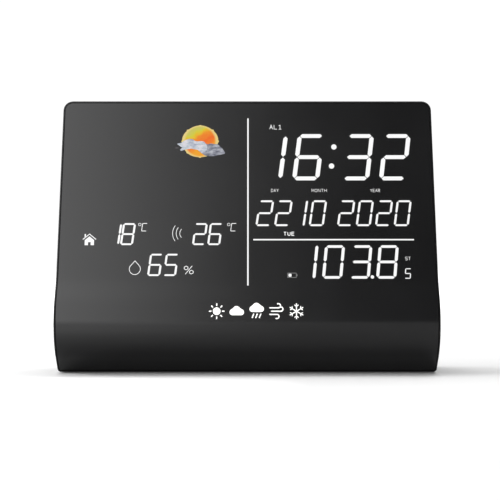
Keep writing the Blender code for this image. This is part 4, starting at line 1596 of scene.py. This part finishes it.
@dataclass
class CoverMarks:
    """Printed symbols on the rear cover over the keys and the sockets, in millimetres."""

    surface: Surface
    over_key: float = 6.6
    over_socket: float = 4.2

    def key_middles(self) -> dict[str, Point]:
        """Finds the keys.

        Returns:
            Middle of each key in millimetres, by its name.
        """
        found = {}
        for name in KEYS:
            low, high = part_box(name + "_button")
            middle = (low + high) / 2 / MM
            found[name] = (middle.x, middle.z)
        return found

    def bell(self, art: Artwork, x: float, z: float) -> None:
        """Bell for the alarm."""
        art.polygon([(x - 1.9, z - 1.0), (x + 1.9, z - 1.0), *arc((x, z + 0.1), 1.2, 0, 180, 10)])
        art.disc((x, z - 1.5), 0.45, 12)

    def clock(self, art: Artwork, x: float, z: float) -> None:
        """Clock face for the mode key."""
        art.line(arc((x, z), 1.7, 0, 345, 23), 0.36, closed=True)
        art.line(((x, z + 1.1), (x, z), (x + 0.8, z)), 0.34)

    def up(self, art: Artwork, x: float, z: float) -> None:
        """Triangle that points up."""
        art.polygon(((x - 1.6, z - 1.2), (x + 1.6, z - 1.2), (x, z + 1.4)))

    def down(self, art: Artwork, x: float, z: float) -> None:
        """Triangle that points down."""
        art.polygon(((x - 1.6, z + 1.2), (x, z - 1.4), (x + 1.6, z + 1.2)))

    def note(self, art: Artwork, x: float, z: float) -> None:
        """Note for the radio."""
        art.disc((x + 0.7, z - 1.2), 0.75, 14)
        art.line(((x + 0.1, z - 1.2), (x + 0.1, z + 1.7), (x - 1.3, z + 1.0)), 0.36)

    def waves(self, art: Artwork, x: float, z: float) -> None:
        """Radio waves for the outdoor sensor's channel.

        Args:
            art: The artwork that it joins.
            x: Its middle across.
            z: Its middle height.
        """
        art.disc((x, z), 0.45, 12)
        for radius in (1.2, 2.0):
            for start in (-40, 140):
                art.line(arc((x, z), radius, start, start + 80, 8), 0.34)

    def sockets(self, art: Artwork) -> None:
        """Signs by the sockets and the switch.

        Args:
            art: The artwork that they join.
        """
        middles = []
        for node in ("usb_shell", "dc_jack", "switch_body"):
            low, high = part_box(node)
            middles.append(((low.x + high.x) / 2 / MM, high.z / MM + self.over_socket))
        (usb_x, usb_z), (jack_x, jack_z), (lamp_x, lamp_z) = middles
        art.line(((usb_x - 2.2, usb_z), (usb_x + 2.2, usb_z)), 0.34)
        art.polygon(((usb_x - 2.2, usb_z - 0.6), (usb_x - 2.2, usb_z + 0.6), (usb_x - 3.1, usb_z)))
        art.disc((usb_x + 2.3, usb_z), 0.6, 14)
        art.line(arc((jack_x, jack_z), 1.3, 35, 325, 14), 0.36)
        art.disc((jack_x, jack_z), 0.5, 14)
        art.disc((lamp_x, lamp_z), 0.8, 16)
        for k in range(8):
            way = Vector((math.cos(k * math.pi / 4), math.sin(k * math.pi / 4)))
            ends = [(lamp_x + way.x * reach, lamp_z + way.y * reach) for reach in (1.2, 1.8)]
            art.line(ends, 0.3)

    def build(self) -> None:
        """Prints every mark."""
        art = Artwork("cover_symbols")
        middles = self.key_middles()
        for name, draw in zip(KEYS, (self.bell, self.clock, self.up, self.down, self.note, self.waves)):
            x, z = middles[name]
            draw(art, x, z + self.over_key)
        self.sockets(art)
        art.lay(self.surface, Finishes.COVER_PRINT.material(), 0.02 * MM)


# ---------------------------------------------------------------- carried-over parts
@dataclass
class Housing:
    """Shells, keys, feet, screws and sockets: what is seen from outside."""

    frame: dict
    parts: tuple[Refined, ...] = field(default_factory=lambda: (
        Refined("front_case", Finishes.CASE),
        Refined("rear_cover", Finishes.COVER),
        Refined("battery_door", Finishes.COVER),
        Refined("snooze_bar", Finishes.KEY),
        *(Refined(f"{name}_button", Finishes.KEY) for name in KEYS),
        Refined("switch_knob", Finishes.KEY),
        *(Refined(f"foot_{place}", Finishes.RUBBER) for place in FEET),
        *(Refined(f"case_screw_{number}", Finishes.ZINC) for number in range(1, 5)),
        Refined("antenna_grommet", Finishes.RUBBER),
        Refined("dc_jack", Finishes.MOULDING),
        Refined("usb_shell", Finishes.NICKEL),
        Refined("usb_tongue", Finishes.WHITE),
        Refined("switch_body", Finishes.NICKEL),
        Refined("speaker_basket", Finishes.ZINC),
        Refined("speaker_magnet", Finishes.ZINC),
        Refined("humidity_sensor", Finishes.WHITE),
        Refined("temperature_sensor", Finishes.MOULDING),
    ))

    def build(self) -> None:
        """Refines each part."""
        for part in self.parts:
            part.build(self.frame)
        low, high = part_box("speaker_cone")
        middle = (low + high) / 2
        cone = PulpCone("pulp_cone", (middle.x, middle.z))
        Refined("speaker_cone", angle=50.0).build(self.frame, cone.material())


@dataclass
class BatteryBay:
    """Cells, springs and contacts, seen when the door is open."""

    frame: dict
    nub: float = 1.0 * MM

    def build(self) -> None:
        """Refines the cells and their contacts."""
        for number in range(1, 4):
            node = f"battery_cell_{number}"
            low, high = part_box(node)
            nub_right = number % 2 == 1
            start, end = (low.x, high.x - self.nub) if nub_right else (low.x + self.nub, high.x)
            jacket = CellJacket(f"cell_jacket_{number}", (start + end) / 2, (end - start) / 2)
            Refined(node).build(self.frame, jacket.material())
            Refined(f"battery_spring_{number}", Finishes.NICKEL, angle=60.0).build(self.frame)
        for name in ("contact_minus", "contact_plus", "bridge_left", "bridge_right"):
            Refined(f"battery_{name}", Finishes.NICKEL).build(self.frame)


@dataclass
class Insides:
    """Sealed parts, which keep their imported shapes."""

    frame: dict

    def finishes(self) -> dict[str, Finishes]:
        """The finish of each sealed node.

        Returns:
            Finishes by the node's name.
        """
        boards = ("main_board", "key_board", "snooze_board", "io_board", "backlight_strip")
        switches = (*(f"{name}_switch" for name in KEYS), "snooze_switch", "processor_chip")
        return {
            **dict.fromkeys(boards, Finishes.BOARD),
            **dict.fromkeys(switches, Finishes.MOULDING),
            **dict.fromkeys(("lcd_ribbon", "key_ribbon"), Finishes.RIBBON),
            "tuner_can": Finishes.NICKEL,
            "receiver_coil": Finishes.COPPER,
            "display_tray": Finishes.WHITE,
            "lcd_glass": Finishes.GLASS,
            "light_guide": Finishes.GUIDE,
        }

    def build(self) -> None:
        """Gives each node its material."""
        for name, finish in self.finishes().items():
            materials = self.frame["nodes"][name].data.materials
            materials.clear()
            materials.append(finish.material())
            LOG.info("%s is finished in %s", name, finish.value.name)


# ---------------------------------------------------------------- studio
@dataclass
class SoftLight:
    """A large rectangular lamp that looks at a point, and may stay out of reflections."""

    name: str
    spot: tuple[float, float, float]
    aim: tuple[float, float, float]
    size: Point
    power: float
    mirrored: bool = True

    def build(self) -> None:
        """Hangs the lamp."""
        lamp = bpy.data.lights.new(self.name, "AREA")
        lamp.shape = "RECTANGLE"
        lamp.size, lamp.size_y = self.size
        lamp.energy = self.power
        holder = bpy.data.objects.new(self.name, lamp)
        holder.location = self.spot
        holder.visible_glossy = self.mirrored
        holder.rotation_euler = (Vector(self.aim) - Vector(self.spot)).to_track_quat("-Z", "Y").to_euler()
        bpy.context.scene.collection.objects.link(holder)


@dataclass
class Surroundings:
    """White to the eye, dim elsewhere, with a soft bank at the left front that gloss picks up."""

    background: float = 1.05
    fill: float = 0.22
    gloss: float = 0.155
    bank: float = 6.3
    near_edge: Point = (0.04, -0.22)
    far_edge: Point = (-0.34, -0.62)

    def build(self) -> None:
        """Makes the world."""
        world = bpy.data.worlds.new("studio_air")
        world.cycles.sampling_method = "NONE"
        world.use_nodes = True
        tree = world.node_tree
        tree.nodes.clear()
        path = tree.nodes.new("ShaderNodeLightPath").outputs
        way = tree.nodes.new("ShaderNodeSeparateXYZ")
        tree.links.new(tree.nodes.new("ShaderNodeTexCoord").outputs["Generated"], way.inputs["Vector"])
        near = self.step(tree, way.outputs["X"], self.near_edge, (self.gloss, self.bank))
        far = self.step(tree, way.outputs["X"], self.far_edge, (self.bank, self.gloss))
        bank = tree.nodes.new("ShaderNodeMath")
        bank.operation = "MINIMUM"
        tree.links.new(near, bank.inputs[0])
        tree.links.new(far, bank.inputs[1])
        shine = self.choose(tree, path["Is Glossy Ray"], self.fill, bank.outputs["Value"])
        seen = self.choose(tree, path["Is Camera Ray"], shine, self.background)
        glow = tree.nodes.new("ShaderNodeBackground")
        glow.inputs["Color"].default_value = (1.0, 1.0, 1.0, 1.0)
        out = tree.nodes.new("ShaderNodeOutputWorld")
        tree.links.new(seen, glow.inputs["Strength"])
        tree.links.new(glow.outputs["Background"], out.inputs["Surface"])
        bpy.context.scene.world = world

    def step(
        self, tree: bpy.types.NodeTree, value: Socket, where: Point, result: Point
    ) -> Socket:
        """A smooth step from one strength to another.

        Args:
            tree: The world's nodes.
            value: The output that is stepped on.
            where: Values at which the step begins and ends.
            result: Strengths before and after it.

        Returns:
            The output that holds the strength.
        """
        node = tree.nodes.new("ShaderNodeMapRange")
        node.interpolation_type = "SMOOTHSTEP"
        tree.links.new(value, node.inputs["Value"])
        for name, number in zip(("From Min", "From Max", "To Min", "To Max"), (*where, *result)):
            node.inputs[name].default_value = number
        return node.outputs["Result"]

    def choose(
        self, tree: bpy.types.NodeTree, test: Socket, otherwise: Socket | float, chosen: Socket | float
    ) -> Socket:
        """Picks between two strengths.

        Args:
            tree: The world's nodes.
            test: The output that is 1 for the chosen strength.
            otherwise: Strength where the test is 0, as a number or an output.
            chosen: Strength where the test is 1.

        Returns:
            The output that holds the strength.
        """
        node = tree.nodes.new("ShaderNodeMix")
        tree.links.new(test, node.inputs["Factor"])
        for name, value in (("A", otherwise), ("B", chosen)):
            if isinstance(value, Socket):
                tree.links.new(value, node.inputs[name])
            else:
                node.inputs[name].default_value = value
        return node.outputs["Result"]


@dataclass
class Studio:
    """Pale floor, surroundings, soft lamps and the camera."""

    floor_size: float = 8.0
    camera_spot: tuple[float, float, float] = (1.5 * MM, -755.8 * MM, 64.9 * MM)
    lens: float = 101.4
    lamps: tuple[SoftLight, ...] = (
        SoftLight(
            "left_bank", spot=(-1.50, -0.10, 0.80), aim=(0.0, 0.0, 0.05), size=(1.2, 0.9), power=22.0
        ),
        SoftLight(
            "top_bank", spot=(0.0, 0.50, 1.60), aim=(0.0, 0.0, 0.0), size=(1.8, 1.6), power=24.0
        ),
        SoftLight(
            "front_fill", spot=(0.0, -1.60, 0.34), aim=(0.0, 0.0, 0.0), size=(1.8, 0.4), power=6.0,
            mirrored=False,
        ),
    )

    def floor(self) -> None:
        """Lays the floor."""
        bm = bmesh.new()
        bmesh.ops.create_grid(bm, x_segments=1, y_segments=1, size=self.floor_size / 2)
        as_object("studio_floor", bm, Finishes.PAPER.material())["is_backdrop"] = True

    def camera(self) -> None:
        """Level camera straight in front of the station."""
        data = bpy.data.cameras.new("camera")
        data.lens = self.lens
        data.sensor_width = 36.0
        data.clip_start, data.clip_end = 0.01, 50.0
        camera = bpy.data.objects.new("camera", data)
        camera.location = self.camera_spot
        camera.rotation_euler = (math.radians(90), 0.0, 0.0)
        bpy.context.scene.collection.objects.link(camera)
        bpy.context.scene.camera = camera

    def build(self) -> None:
        """Sets up the studio."""
        self.floor()
        Surroundings().build()
        for lamp in self.lamps:
            lamp.build()
        self.camera()
        bpy.context.scene.view_settings.view_transform = "Standard"


def main() -> None:
    """Builds the weather station and its studio."""
    logging.basicConfig(level=logging.INFO, format="%(name)s: %(message)s")
    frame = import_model()
    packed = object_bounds()
    profile = FrontProfile(nose=packed[0].y)
    Studio().build()
    Panel(profile).build()
    front = Surface(Side.FRONT, profile.y, profile.outward, profile.levels(1.0 * MM))
    for reading in readings():
        reading.build(front)
    DisplayMarks(front).build()
    ChinPictograms(front).build()
    Housing(frame).build()
    BatteryBay(frame).build()
    Insides(frame).build()
    back_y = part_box("rear_cover")[1].y
    back = Surface(Side.BACK, lambda height: back_y, lambda height: Vector((0.0, 1.0, 0.0)))
    CoverMarks(back).build()


if __name__ == "__main__":
    main()
